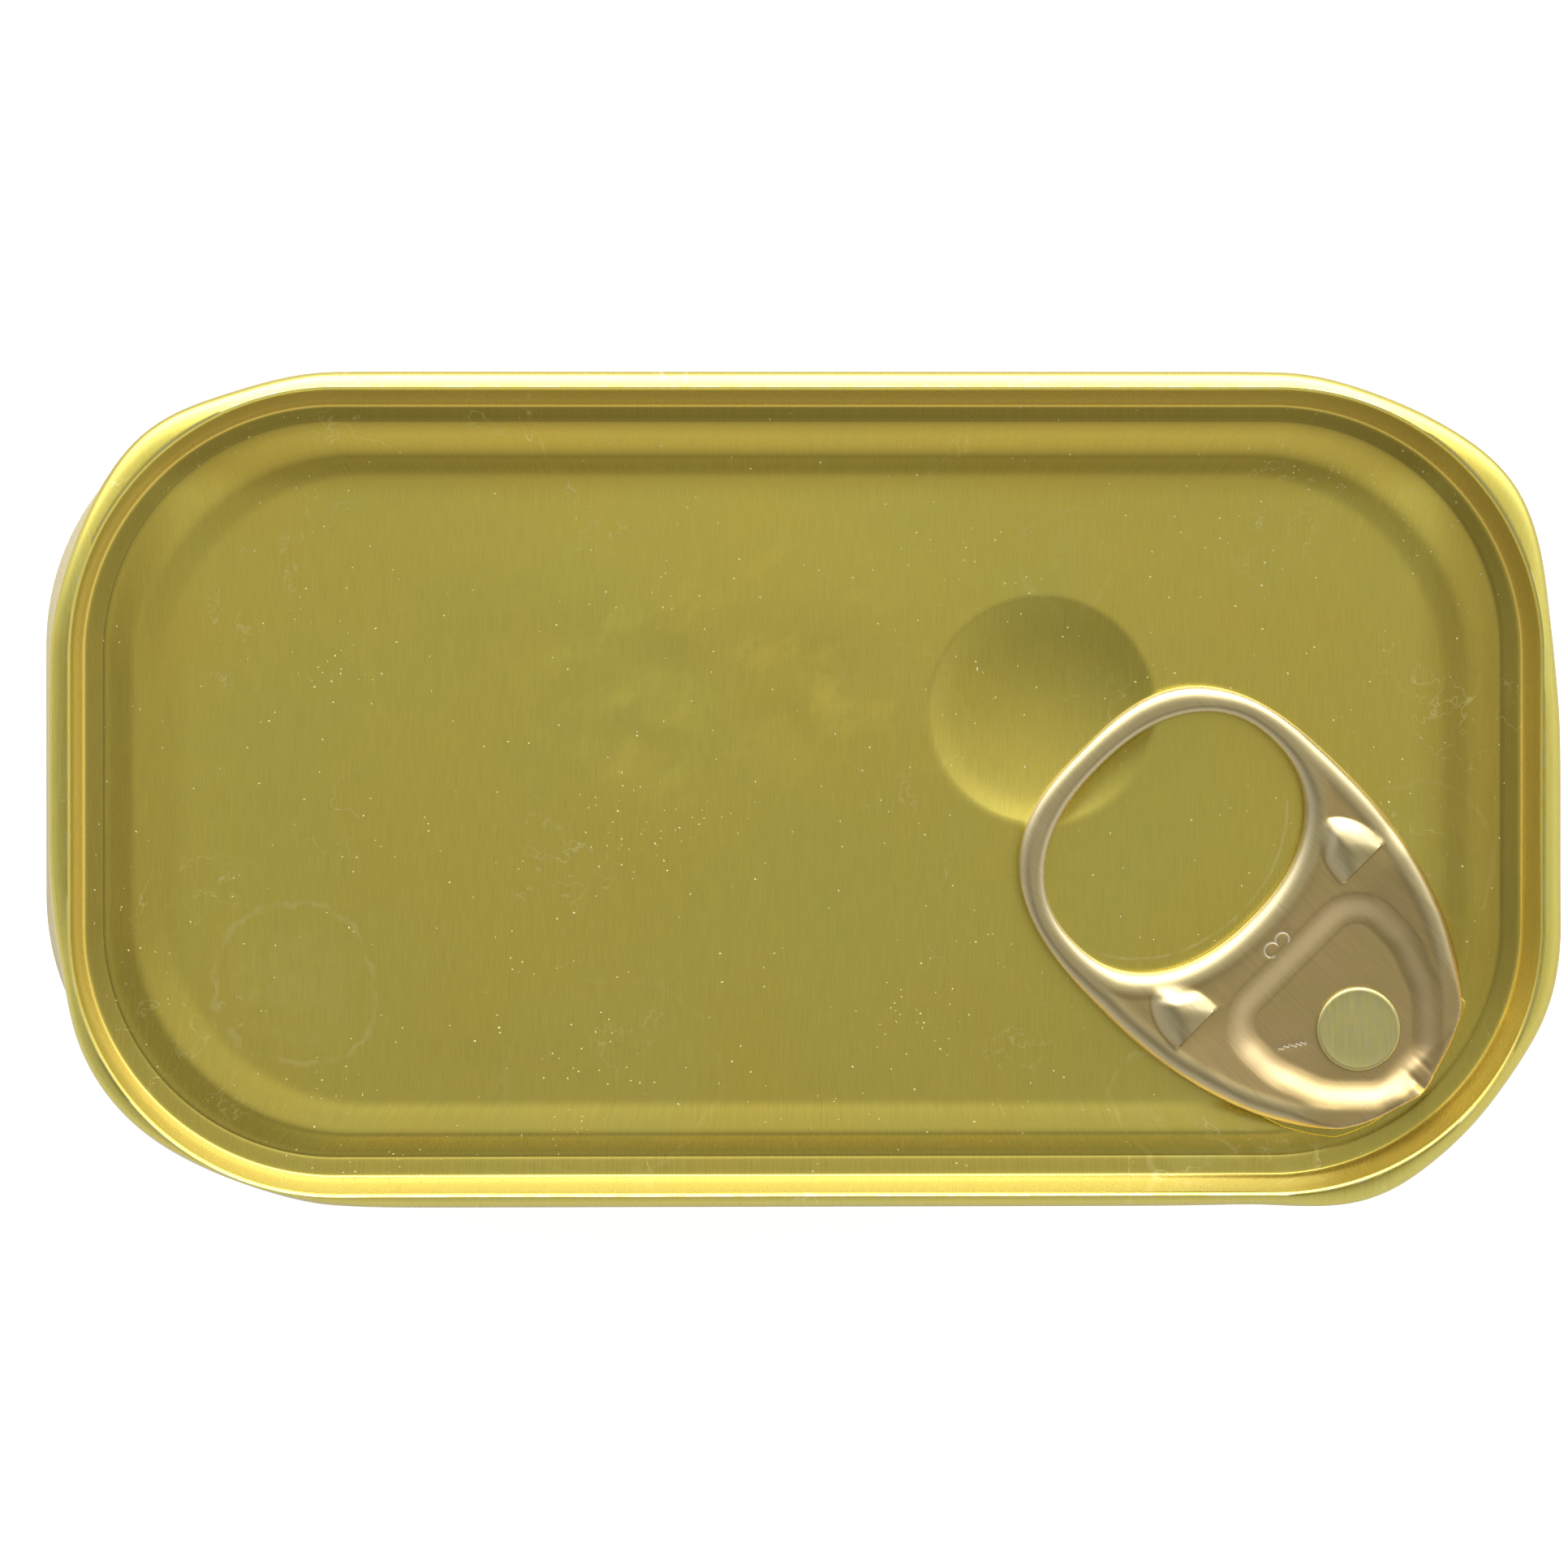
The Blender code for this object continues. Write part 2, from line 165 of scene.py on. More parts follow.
class Shell:
    # Grows one closed mesh out of rings, bands between rings and filled areas.
    def __init__(self):
        self.points = []
        self.sheet = []
        self.faces = []

    def ring(self, flat, heights, sheet=None):
        first = len(self.points)
        heights = np.broadcast_to(heights, len(flat))
        sheet = flat if sheet is None else sheet
        self.points += [(float(x), float(y), float(z)) for (x, y), z in zip(flat, heights)]
        self.sheet += [(float(u), float(v)) for u, v in sheet]
        return list(range(first, len(self.points)))

    def band(self, first, second):
        for index, start in enumerate(first):
            following = (index + 1) % len(first)
            self.faces.append((start, first[following], second[following], second[index]))

    def bands(self, rings):
        for first, second in zip(rings, rings[1:]):
            self.band(first, second)

    def fan(self, loop, middle):
        for index, start in enumerate(loop):
            self.faces.append((start, loop[(index + 1) % len(loop)], middle))

    def fill(self, loops, inner=None, height=None):
        # Triangles over the first loop less the others; inner points get their own heights.
        known = [index for loop in loops for index in loop]
        if inner is not None:
            known += self.ring(inner, height(inner))
        edges = []
        offset = 0
        for loop in loops:
            edges += [(offset + i, offset + (i + 1) % len(loop)) for i in range(len(loop))]
            offset += len(loop)
        places = np.array([self.points[index][:2] for index in known])
        found = delaunay_2d_cdt([Vector(place) for place in places], edges, [], 0, 1e-6, True)
        corners = [known[group[0]] for group in found[3]]
        triangles = np.array([[corners[i] for i in triangle] for triangle in found[2]])
        centres = np.array(self.points)[triangles][:, :, :2].mean(axis=1)
        keep = np.ones(len(triangles), dtype=bool)
        for number, loop in enumerate(loops):
            outline = np.array([self.points[index][:2] for index in loop])
            within = inLoop(centres, outline)
            keep &= within if number == 0 else ~within
        self.faces += [tuple(int(i) for i in triangle) for triangle in triangles[keep]]

    def build(self, name, material, marks=None, sharpAngle=50.0, place=None):
        data = bpy.data.meshes.new(name)
        data.from_pydata([Vector(point) for point in self.points], [], self.faces)
        layer = data.uv_layers.new(name="sheet")
        corners = np.zeros(len(data.loops), dtype=np.int32)
        data.loops.foreach_get("vertex_index", corners)
        layer.uv.foreach_set("vector", np.array(self.sheet)[corners].astype(np.float32).ravel())
        for mark, values in (marks or {}).items():
            data.attributes.new(mark, "FLOAT", "POINT").data.foreach_set("value", values)
        shape = bmesh.new()
        shape.from_mesh(data)
        bmesh.ops.recalc_face_normals(shape, faces=shape.faces)
        move = Matrix.Scale(mm, 4) @ (place or Matrix.Identity(4))
        bmesh.ops.transform(shape, matrix=move, verts=shape.verts)
        shape.to_mesh(data)
        shape.free()
        data.materials.append(material)
        data.shade_smooth()
        data.set_sharp_from_angle(angle=math.radians(sharpAngle))
        return addObject(name, data)


class Wire:
    # Wraps a node's socket, so that node maths reads as plain sums.
    def __init__(self, tree, socket=None):
        self.tree = tree
        self.socket = socket

    def add(self, kind, settings=None, inputs=None, output=0):
        node = self.tree.nodes.new(kind)
        for name, value in (settings or {}).items():
            setattr(node, name, value)
        for key, value in (inputs or {}).items():
            if isinstance(value, Wire):
                self.tree.links.new(value.socket, node.inputs[key])
            else:
                node.inputs[key].default_value = value
        return Wire(self.tree, node.outputs[output])

    def maths(self, operation, *values):
        return self.add("ShaderNodeMath", {"operation": operation}, dict(enumerate(values)))

    def __add__(self, other):
        return self.maths("ADD", self, other)

    def __radd__(self, other):
        return self.maths("ADD", other, self)

    def __sub__(self, other):
        return self.maths("SUBTRACT", self, other)

    def __rsub__(self, other):
        return self.maths("SUBTRACT", other, self)

    def __mul__(self, other):
        return self.maths("MULTIPLY", self, other)

    def __rmul__(self, other):
        return self.maths("MULTIPLY", other, self)

    def __truediv__(self, other):
        return self.maths("DIVIDE", self, other)

    def __rtruediv__(self, other):
        return self.maths("DIVIDE", other, self)

    def __pow__(self, other):
        return self.maths("POWER", self, other)

    def __abs__(self):
        return self.maths("ABSOLUTE", self)

    def least(self, other):
        return self.maths("MINIMUM", self, other)

    def most(self, other):
        return self.maths("MAXIMUM", self, other)

    def part(self, axis):
        return self.add("ShaderNodeSeparateXYZ", {}, {0: self}, "XYZ".index(axis))

    def vector(self, operation, other, output=0):
        return self.add("ShaderNodeVectorMath", {"operation": operation}, {0: self, 1: other}, output)

    def joined(self, x, y, z=0.0):
        return self.add("ShaderNodeCombineXYZ", {}, {0: x, 1: y, 2: z})

    def length(self, other):
        # of the flat vector that these two make
        return self.joined(self, other).vector("LENGTH", (0.0, 0.0, 0.0), 1)

    def attribute(self, name):
        return self.add("ShaderNodeAttribute", {"attribute_name": name}, {}, 2)

    def between(self, low, high, smooth=True):
        # 0 below low, 1 above high; it runs the other way when low is the larger
        kind = "SMOOTHSTEP" if smooth else "LINEAR"
        return self.add("ShaderNodeMapRange", {"interpolation_type": kind}, {0: self, 1: low, 2: high})

    def noise(self, place, scale, detail=2.0, roughness=0.5):
        return self.add("ShaderNodeTexNoise", {}, {
            "Vector": place, "Scale": scale, "Detail": detail, "Roughness": roughness})

    def grain(self, axes, scales, detail=3.0, roughness=0.6):
        # noise that is stretched by its own scale along each axis
        place = self.joined(*(axis * scale for axis, scale in zip(axes, scales)))
        return self.noise(place, 1.0, detail, roughness)

    def tinted(self, shade, colour=None):
        # the colour, or this one, made darker or lighter by the shade
        grey = self.joined(shade, shade, shade)
        return self.blend(1.0, self if colour is None else colour, grey, "MULTIPLY")

    def blend(self, factor, first, second, kind="MIX"):
        return self.add("ShaderNodeMix", {"data_type": "RGBA", "blend_type": kind},
                        {0: factor, 6: first, 7: second}, 2)


def startMaterial(name):
    material = bpy.data.materials.new(name)
    material.use_nodes = True
    tree = material.node_tree
    return material, Wire(tree), tree.nodes["Principled BSDF"]


def feed(shader, values):
    for name, value in values.items():
        if isinstance(value, Wire):
            value.tree.links.new(value.socket, shader.inputs[name])
        else:
            shader.inputs[name].default_value = value


def linear(red, green, blue):
    # linear colour from the 0-255 values of a colour picker
    parts = [value / 255.0 for value in (red, green, blue)]
    parts = [v / 12.92 if v <= 0.04045 else ((v + 0.055) / 1.055) ** 2.4 for v in parts]
    return (*parts, 1.0)


# Finishes.

def metalFinish(start, shader, finish, colour, roughness, height, metallic=1.0):
    feed(shader, {
        "Base Color": colour,
        "Metallic": metallic,
        "Roughness": roughness,
        "Coat Weight": finish["coat"],
        "Coat Roughness": finish["coatRoughness"],
        "Normal": start.add("ShaderNodeBump", {}, {
            "Strength": 1.0,
            "Distance": finish["grainHeight"] * mm,
            "Height": height,
        }),
    })


def spot(x, y, middle, sizes, fade):
    # an oval place on the sheet, with its two half sizes
    return ((x - middle[0]) / sizes[0]).length((y - middle[1]) / sizes[1]).between(*fade)


lacquer = {
    "gold": linear(228, 212, 101),
    "deepGold": linear(225, 207, 95),
    "olive": linear(217, 207, 101),
    "wall": linear(203, 173, 71),
    # the redder colour of the rim's painted shade
    "paintedShadeAmber": linear(220, 188, 62),
    "bareTin": linear(218, 210, 178),
    "dust": linear(240, 230, 168),
    "roughness": 0.28,
    "coat": 0.9,
    "coatRoughness": 0.16,
    "wallMetal": 0.5,           # the lacquer looks milkier on the chuck wall
    "wallCover": 0.85,
    # painted shade for each unit of the ledge mark; where the mark is below zero it paints a highlight
    "ledgePaintedShade": 0.78,
    # the rolling grain runs along Y: noise scales across it and along it
    "hair": (11.0, 0.5),
    "thread": (3.2, 0.06),
    "cloud": (0.07, 0.06),
    "mottle": (0.9, 0.5),
    "grainHeight": 0.00018,
    "wallGrain": 0.3,           # how much of the grain is left on the chuck wall
    "paintedNorthLight": 0.0028,       # painted light: how much lighter the lacquer is made each millimetre towards +Y, the lamp's side
    # two lighter places: middle, half sizes, where they start and are full
    "palePatch": ((-4.0, 17.0), (20.0, 5.5), (1.5, 0.2)),
    "smudge": ((-5.0, 7.0), (15.0, 9.0), (1.3, 0.4)),
    # painted shade: the rim is painted darker and redder on its +Y side, and less so on its short
    # sides
    "rimNorth": (18.5, 21.5),
    "rimEast": (39.5, 42.5),
    "rimWest": (-39.5, -42.5),
    "rimEastShare": 0.8,
    "rimWestShare": 0.5,
    "rimSouthEnd": (-18.0, -8.0),
    "rimDepth": (0.25, 1.0),
    "rimPaintedShade": 0.2,
    "rimPaintedAmber": 0.45,
    # painted shade and light: the wall's straight -Y side is painted darker, and its corner beside the
    # ring pull gets a painted highlight
    "wallSouth": (-18.5, -22.0),
    "wallStraight": (44.0, 34.0),
    "paintedSouthShade": 0.3,
    "pullCorner": (50.0, 60.0),
    "paintedCornerLight": 0.35,
    "paleHoleArcOval": (17.1, 8.65, 6.4),    # in the ring pull's frame: how far up, half sizes
    "stainCover": 0.6,
    "ridgeDepth": 0.05,         # the lacquer is rubbed away above this
    "ridgeCover": 0.75,
}

# Dried water marks on the lid: middle, radius and how strongly the edge shows.
waterMarks = [
    ((-33.1, -12.7), 5.3, 1.0),
    ((25.8, -22.0), 5.9, 0.9),
    ((40.1, -4.0), 4.6, 0.5),
    ((17.2, 15.1), 3.2, 0.5),
    ((6.3, 5.0), 4.4, 0.35),
    ((-12.5, -19.0), 6.8, 0.35),
]


# grain and pale places, with painted light that rises towards +Y and painted shade on the rim
def toneWithPaintedLight(start, x, y, rim, hair, thread):
    smudge = spot(x, y, *lacquer["smudge"])
    smudge = smudge * start.noise(start.joined(x - y * 0.5, y, 3.0), 0.3, 4.0, 0.6).between(0.48, 0.72)
    # painted light: the tone rises towards +Y
    shade = 0.97 + (hair - 0.5) * 0.24 + (thread - 0.5) * 0.06 + y * lacquer["paintedNorthLight"]
    shade = shade + spot(x, y, *lacquer["palePatch"]) * 0.1 + smudge * 0.14
    # painted shade: the rim is made darker
    return shade * (1.0 - rim * lacquer["rimPaintedShade"])


def stains(start, x, y):
    # dried water leaves thin pale outlines
    wander = start.noise(start.joined(x, y), 0.22, 3.0, 0.6) * 3.2
    outline = 0.0
    for (middleX, middleY), radius, strength in waterMarks:
        reach = (x - middleX).length(y - middleY)
        edge = abs(reach + wander - (radius + 1.6))
        inside = (reach + wander).between(radius + 1.6, radius - 0.4) * (0.16 * strength)
        outline = edge.between(0.28, 0.0) * strength * 0.55 + inside + outline
    patchy = start.noise(start.joined(x, y, 4.0), 0.5, 3.0, 0.6).between(0.35, 0.6)
    # and here and there a thin winding one
    winding = abs(start.noise(start.joined(x, y, 9.0), 0.16, 4.0, 0.6) - 0.5).between(0.007, 0.0)
    winding = winding * start.noise(start.joined(x, y, 21.0), 0.11, 1.0).between(0.56, 0.66)
    # a thin pale line just inside the lower part of the ring pull's hole
    middle, halfWidth, halfHeight = lacquer["paleHoleArcOval"]
    turn = math.radians(tin["pullTurn"])
    fromX, fromY = x - tin["rivet"][0], y - tin["rivet"][1]
    across = fromX * math.cos(turn) + fromY * math.sin(turn)
    upward = fromY * math.cos(turn) - fromX * math.sin(turn) - middle
    reach = (across / halfWidth).length(upward / halfHeight)
    paleHoleArc = abs((reach - 1.0) * 7.0 + wander * 0.16 - 0.22).between(0.13, 0.0)
    paleHoleArc = paleHoleArc * upward.between(-1.0, -3.0) * patchy
    return (outline * patchy + paleHoleArc + winding * patchy).least(1.0)


def goldLacquer():
    material, start, shader = startMaterial("goldLacquer")
    sheet = start.add("ShaderNodeUVMap", {"uv_map": "sheet"})
    x, y = sheet.part("X"), sheet.part("Y")
    place = start.add("ShaderNodeTexCoord", {}, {}, 3)
    depth = tin["height"] - place.part("Z") / mm
    wall, ledge = start.attribute("wall"), start.attribute("ledge")
    # fine hairlines, broader bands, cloudy patches and a mottle
    hair = start.grain((x, y), lacquer["hair"])
    thread = start.grain((x, y), lacquer["thread"], 2.0)
    cloud = start.grain((x, y), lacquer["cloud"], 3.0, 0.55)
    mottle = start.grain((x, y), lacquer["mottle"], 4.0, 0.65)
    colour = start.blend(cloud.between(0.3, 0.7), lacquer["deepGold"], lacquer["olive"])
    colour = start.blend(mottle.between(0.35, 0.75) * 0.4, colour, lacquer["gold"])
    # painted shade: where the rim's darker, redder band is painted
    sides = x.between(*lacquer["rimEast"]) * lacquer["rimEastShare"]
    sides = sides + x.between(*lacquer["rimWest"]) * lacquer["rimWestShare"]
    sides = sides * y.between(*lacquer["rimSouthEnd"])
    rim = y.between(*lacquer["rimNorth"]).most(sides) * depth.between(*lacquer["rimDepth"])
    shade = toneWithPaintedLight(start, x, y, rim, hair, thread)
    # painted shade on the ledge and in the score line, and a painted highlight along the fillet
    tone = 1.0 - ledge * (1.0 - lacquer["ledgePaintedShade"])
    colour = colour.tinted(shade * tone)
    # painted shade on the wall's straight -Y side, and a painted highlight in its corner beside the
    # ring pull
    paintedSouthMask = y.between(*lacquer["wallSouth"]) * abs(x).between(*lacquer["wallStraight"])
    corner = (x - y * 0.9).between(*lacquer["pullCorner"])
    wallPaintedShade = tone * (1.0 - paintedSouthMask * lacquer["paintedSouthShade"] + corner * lacquer["paintedCornerLight"])
    colour = start.blend(wall * lacquer["wallCover"], colour, start.tinted(wallPaintedShade, lacquer["wall"]))
    # painted shade: the rim is tinted towards the redder shade colour
    paintedShadeAmber = start.tinted(shade * tone, lacquer["paintedShadeAmber"])
    colour = start.blend(rim * lacquer["rimPaintedAmber"], colour, paintedShadeAmber)
    stain = stains(start, x, y)
    colour = start.blend(stain * lacquer["stainCover"], colour, lacquer["dust"])
    # lacquer rubbed away along the seam's ridge
    rub = start.noise(place, 900.0, 3.0, 0.7)
    ridge = depth.between(lacquer["ridgeDepth"], 0.0) * rub.between(0.4, 0.62)
    colour = start.blend(ridge * lacquer["ridgeCover"], colour, lacquer["bareTin"])
    roughness = lacquer["roughness"] + (hair - 0.5) * 0.1 + (cloud - 0.5) * 0.06 + stain * 0.08
    height = (hair + thread * 2.0 + mottle * 2.0) * (1.0 - wall * (1.0 - lacquer["wallGrain"]))
    metallic = 1.0 - wall * (1.0 - lacquer["wallMetal"])
    metalFinish(start, shader, lacquer, colour, roughness, height, metallic)
    return material


bodyFinish = {
    "gold": linear(222, 202, 104),
    "deepGold": linear(208, 184, 84),
    "roughness": 0.3,
    "coat": 0.5,
    "coatRoughness": 0.14,
    # noise scales along X, Y and Z
    "hair": (4.5, 4.5, 0.07),
    "thread": (1.1, 1.1, 0.02),
    "cloud": (0.05, 0.05, 0.05),
    "scuff": (0.35, 0.35, 1.3),
    "scuffHeight": (6.0, 0.5),  # worn towards the foot, between these heights
    "grainHeight": 0.0015,
}


def bodyLacquer():
    material, start, shader = startMaterial("bodyLacquer")
    place = start.add("ShaderNodeTexCoord", {}, {}, 3)
    axes = [place.part(axis) / mm for axis in "XYZ"]
    # drawing marks run up the wall
    hair = start.grain(axes, bodyFinish["hair"])
    thread = start.grain(axes, bodyFinish["thread"], 2.0)
    cloud = start.grain(axes, bodyFinish["cloud"])
    scuff = start.grain(axes, bodyFinish["scuff"], 4.0, 0.7)
    colour = start.blend(cloud.between(0.3, 0.7), bodyFinish["deepGold"], bodyFinish["gold"])
    colour = colour.tinted(0.94 + (hair - 0.5) * 0.26 + (thread - 0.5) * 0.16)
    worn = axes[2].between(*bodyFinish["scuffHeight"]) * scuff.between(0.5, 0.72)
    colour = start.blend(worn * 0.4, colour, lacquer["bareTin"])
    roughness = bodyFinish["roughness"] + (hair - 0.5) * 0.14 + (cloud - 0.5) * 0.12 + worn * 0.1
    metalFinish(start, shader, bodyFinish, colour, roughness, hair + thread * 3.0)
    return material


champagne = {
    "brown": linear(200, 178, 123),
    "rose": linear(205, 180, 131),
    "hem": linear(208, 195, 154),
    "worn": linear(208, 203, 205),
    "bareAndPaintedHighlight": linear(250, 246, 232),
    "roughness": 0.31,
    "coat": 1.0,
    "coatRoughness": 0.2,
    "hemCover": 0.85,
    # noise scales across the ring pull and along it
    "hair": (8.0, 0.3),
    "thread": (2.4, 0.1),
    "cloud": (0.16, 0.16),
    "patchScale": 1.6,
    "speckScale": 5.0,
    "grainHeight": 0.0008,
}


def champagneCoat():
    material, start, shader = startMaterial("champagneCoat")
    sheet = start.add("ShaderNodeUVMap", {"uv_map": "sheet"})
    x, y = sheet.part("X"), sheet.part("Y")
    crest, bareAndPaintedHighlight, cutEdge, drawn = (start.attribute(name)
                                   for name in ("crest", "bareAndPaintedHighlight", "cutEdge", "drawn"))
    hair = start.grain((x, y), champagne["hair"])
    thread = start.grain((x, y), champagne["thread"], 2.0)
    cloud = start.grain((x, y), champagne["cloud"], 2.0, 0.5)
    patchX, patchY = (axis * champagne["patchScale"] for axis in (x, y))
    patch = start.noise(start.joined(patchX, patchY, 7.0), 1.0, 4.0, 0.7)
    speckX, speckY = (axis * champagne["speckScale"] for axis in (x, y))
    speck = start.noise(start.joined(speckX, speckY, 2.0), 1.0, 3.0, 0.7)
    colour = start.blend(cloud.between(0.35, 0.65), champagne["brown"], champagne["rose"])
    colour = start.blend(drawn * champagne["hemCover"], colour, champagne["hem"])
    colour = colour.tinted(0.97 + (hair - 0.5) * 0.3 + (thread - 0.5) * 0.1)
    worn = crest * patch.between(0.6, 0.7) * 0.5 + cutEdge * speck.between(0.45, 0.6) * 0.8
    worn = worn.least(1.0)
    colour = start.blend(worn, colour, champagne["worn"])
    # bare metal in the scratches, and a painted highlight on the numeral's strokes
    colour = start.blend(bareAndPaintedHighlight, colour, champagne["bareAndPaintedHighlight"])
    roughness = champagne["roughness"] + (hair - 0.5) * 0.12 + worn * 0.1 + bareAndPaintedHighlight * 0.12
    metalFinish(start, shader, champagne, colour, roughness, hair + thread * 2.0)
    return material


rivetFinish = {
    "green": linear(217, 210, 142),
    "grey": linear(213, 206, 153),
    "roughness": 0.4,
    "coat": 0.3,
    "coatRoughness": 0.2,
    # noise scales along X and Y
    "hair": (8.0, 0.4),
    "mottle": (1.4, 1.1),
    "grainHeight": 0.0012,
}


def rivetLacquer():
    material, start, shader = startMaterial("rivetLacquer")
    place = start.add("ShaderNodeTexCoord", {}, {}, 3)
    axes = (place.part("X") / mm, place.part("Y") / mm)
    hair = start.grain(axes, rivetFinish["hair"])
    mottle = start.grain(axes, rivetFinish["mottle"])
    colour = start.blend(mottle.between(0.35, 0.65), rivetFinish["green"], rivetFinish["grey"])
    colour = colour.tinted(0.96 + (hair - 0.5) * 0.22)
    roughness = rivetFinish["roughness"] + (hair - 0.5) * 0.12
    metalFinish(start, shader, rivetFinish, colour, roughness, hair)
    return material


def paleDust():
    material, start, shader = startMaterial("paleDust")
    place = start.add("ShaderNodeTexCoord", {}, {}, 3)
    tone = start.noise(place, 2500.0, 2.0)
    colour = start.blend(tone, linear(214, 200, 130), linear(255, 250, 214))
    feed(shader, {"Base Color": colour, "Roughness": 0.7})
    return material


goldMaterial = goldLacquer()
bodyMaterial = bodyLacquer()
pullMaterial = champagneCoat()
rivetMaterial = rivetLacquer()
dustMaterial = paleDust()
print("finishes made")

# The lid: seam, chuck wall, ledge, score line, bead and panel out of one pressed sheet.

lid = {
    "arcSteps": 44,
    "longSteps": 30,            # points on half of a long side
    "shortSteps": 10,
    # the seam's outer face is uneven at its corners: degrees into the corner, and how far out
    "seamSpreads": (
        ((7, -0.53), (37, 0.59), (70, -0.26)),
        ((19, -0.2), (40, 0.52), (73, -0.21)),
        ((10, -0.6), (61, -0.35), (76, -0.42)),
        ((0, -0.12), (19, 0.58), (58, -0.29), (70, 0.19)),
    ),
    "spreadReach": 4.6,
    # inset, depth under the ridge and share of the unevenness
    "seamFoot": ((1.04, 3.0, 0.5), (1.0, 2.96, 0.5), (0.8, 2.98, 0.7)),
    "seamFace": ((0.02, 2.2, 1.0), (0.0, 1.8, 1.0), (0.0, 1.45, 1.0)),
    "hookRadii": (0.5, 0.4),
    "ridgeInset": 0.925,
    "ridgeShift": 0.14,         # the ridge and the bead sit a little towards -Y
    "beadShift": 0.25,
    "ridgePinch": 0.2,          # the ridge is drawn further in at the short ends
    "shoulderTurn": 60.0,
    "shoulderDepth": 1.1,
    "lipTurn": 25.0,
    "lipWidth": 0.27,
    "wallTop": (1.195, 0.35),
    "wallFoot": (1.85, 2.9),
    "ledgeStart": (2.36, 3.69),
    "ledgeDepth": 3.7,
    "ledgeDrop": 0.19,          # it falls away towards the score line
    "scoreWidth": 0.12,
    "scoreDepth": 0.02,
    "beadStart": 3.7,
    "beadInset": 5.35,
    "beadEnd": 7.15,
    "beadRise": 0.3,
    "beadBlur": 0.28,
    "panelInset": 7.9,
    "plugInset": 1.7,
    "plugDepth": 5.2,
    "dimpleMiddle": (15.5, 5.05),
    "dimpleRadius": 7.75,
    "dimpleWall": 2.1,          # the panel's waves fade out over this width
    "dimpleWallDrop": 0.04,
    "dimpleBowlDrop": 1.0,
    "dimpleBowlEdge": 0.3,      # the bowl starts this far inside the dimple's edge
    "dimpleLean": 0.006,        # its floor falls towards -Y
    "dimpleClear": 9.6,         # the panel's own grid of points stays outside this
    "dents": ((-9.1, 7.7), (1.0, 7.7), (-10.7, 2.9), (-0.9, 4.0)),
    "dentReach": 2.0,
    "dentDepth": 0.09,
    "waviness": 0.02,
    "waves": ((0.21, 0.09, 0.4), (-0.13, 0.24, 1.9), (0.07, -0.31, 3.2), (0.33, 0.17, 5.1)),
    "panelGrid": 0.9,
}


def cornerSamples():
    # corner number, turn from its middle, share of the straight side past its end
    samples = []
    for corner in range(4):
        before = lid["shortSteps"] if corner % 2 == 0 else lid["longSteps"]
        after = lid["longSteps"] if corner % 2 == 0 else lid["shortSteps"]
        samples += [(corner, -1.0, -step / before) for step in range(before - 1, 0, -1)]
        samples += [(corner, 2.0 * step / lid["arcSteps"] - 1.0, 0.0)
                    for step in range(lid["arcSteps"] + 1)]
        samples += [(corner, 1.0, step / after) for step in range(1, after + 1)]
    return samples


def tinOutline(inset, spread=0.0):
    # Rounded rectangle inside the tin's outline, and the outward direction at each point.
    halfLength = tin["length"] / 2.0 - inset * (1.0 + tin["endStretch"])
    halfWidth = tin["width"] / 2.0 - inset * (1.0 - tin["endStretch"])
    score = tin["scoreInset"]
    radius = tin["cornerRadius"] - min(inset, score) - 0.45 * max(0.0, inset - score)
    halfSides = (halfLength - radius, halfWidth - radius)
    points, outwards = [], []
    for corner, turn, share in cornerSamples():
        side = halfSides[(corner + 1) % 2] if share < 0.0 else halfSides[corner % 2]
        angle = math.radians(45.0 + 90.0 * corner + 45.0 * turn)
        outward = np.array((math.cos(angle), math.sin(angle)))
        beyond = share * side
        reach = tin["cornerRadius"] * math.pi / 4.0 * turn + beyond
        uneven = 0.0
        for degrees, amount in lid["seamSpreads"][corner]:
            away = reach - tin["cornerRadius"] * math.radians(degrees - 45.0)
            uneven += amount * bell(away, lid["spreadReach"])
        signX, signY = ((1, 1), (-1, 1), (-1, -1), (1, -1))[corner]
        centre = np.array((signX * halfSides[0], signY * halfSides[1]))
        along = np.array((-outward[1], outward[0]))
        points.append(centre + outward * (radius + spread * uneven) + along * beyond)
        outwards.append(outward)
    return np.array(points), np.array(outwards)


def softened(corners, blur, count, start, end):
    # A profile through corners, with each corner rounded over about twice the blur.
    insets, depths = np.array(corners).T
    fine = np.linspace(insets[0] - 3.0 * blur, insets[-1] + 3.0 * blur, 1200)
    line = np.interp(fine, insets, depths)
    weights = bell(np.arange(-3.0 * blur, 3.0 * blur, fine[1] - fine[0]), blur)
    line = np.convolve(np.pad(line, len(weights) // 2, mode="edge"), weights / weights.sum(), "same")
    line = line[len(weights) // 2:len(weights) // 2 + len(fine)]
    wanted = np.linspace(start, end, count)
    return list(zip(wanted, np.interp(wanted, fine, line)))


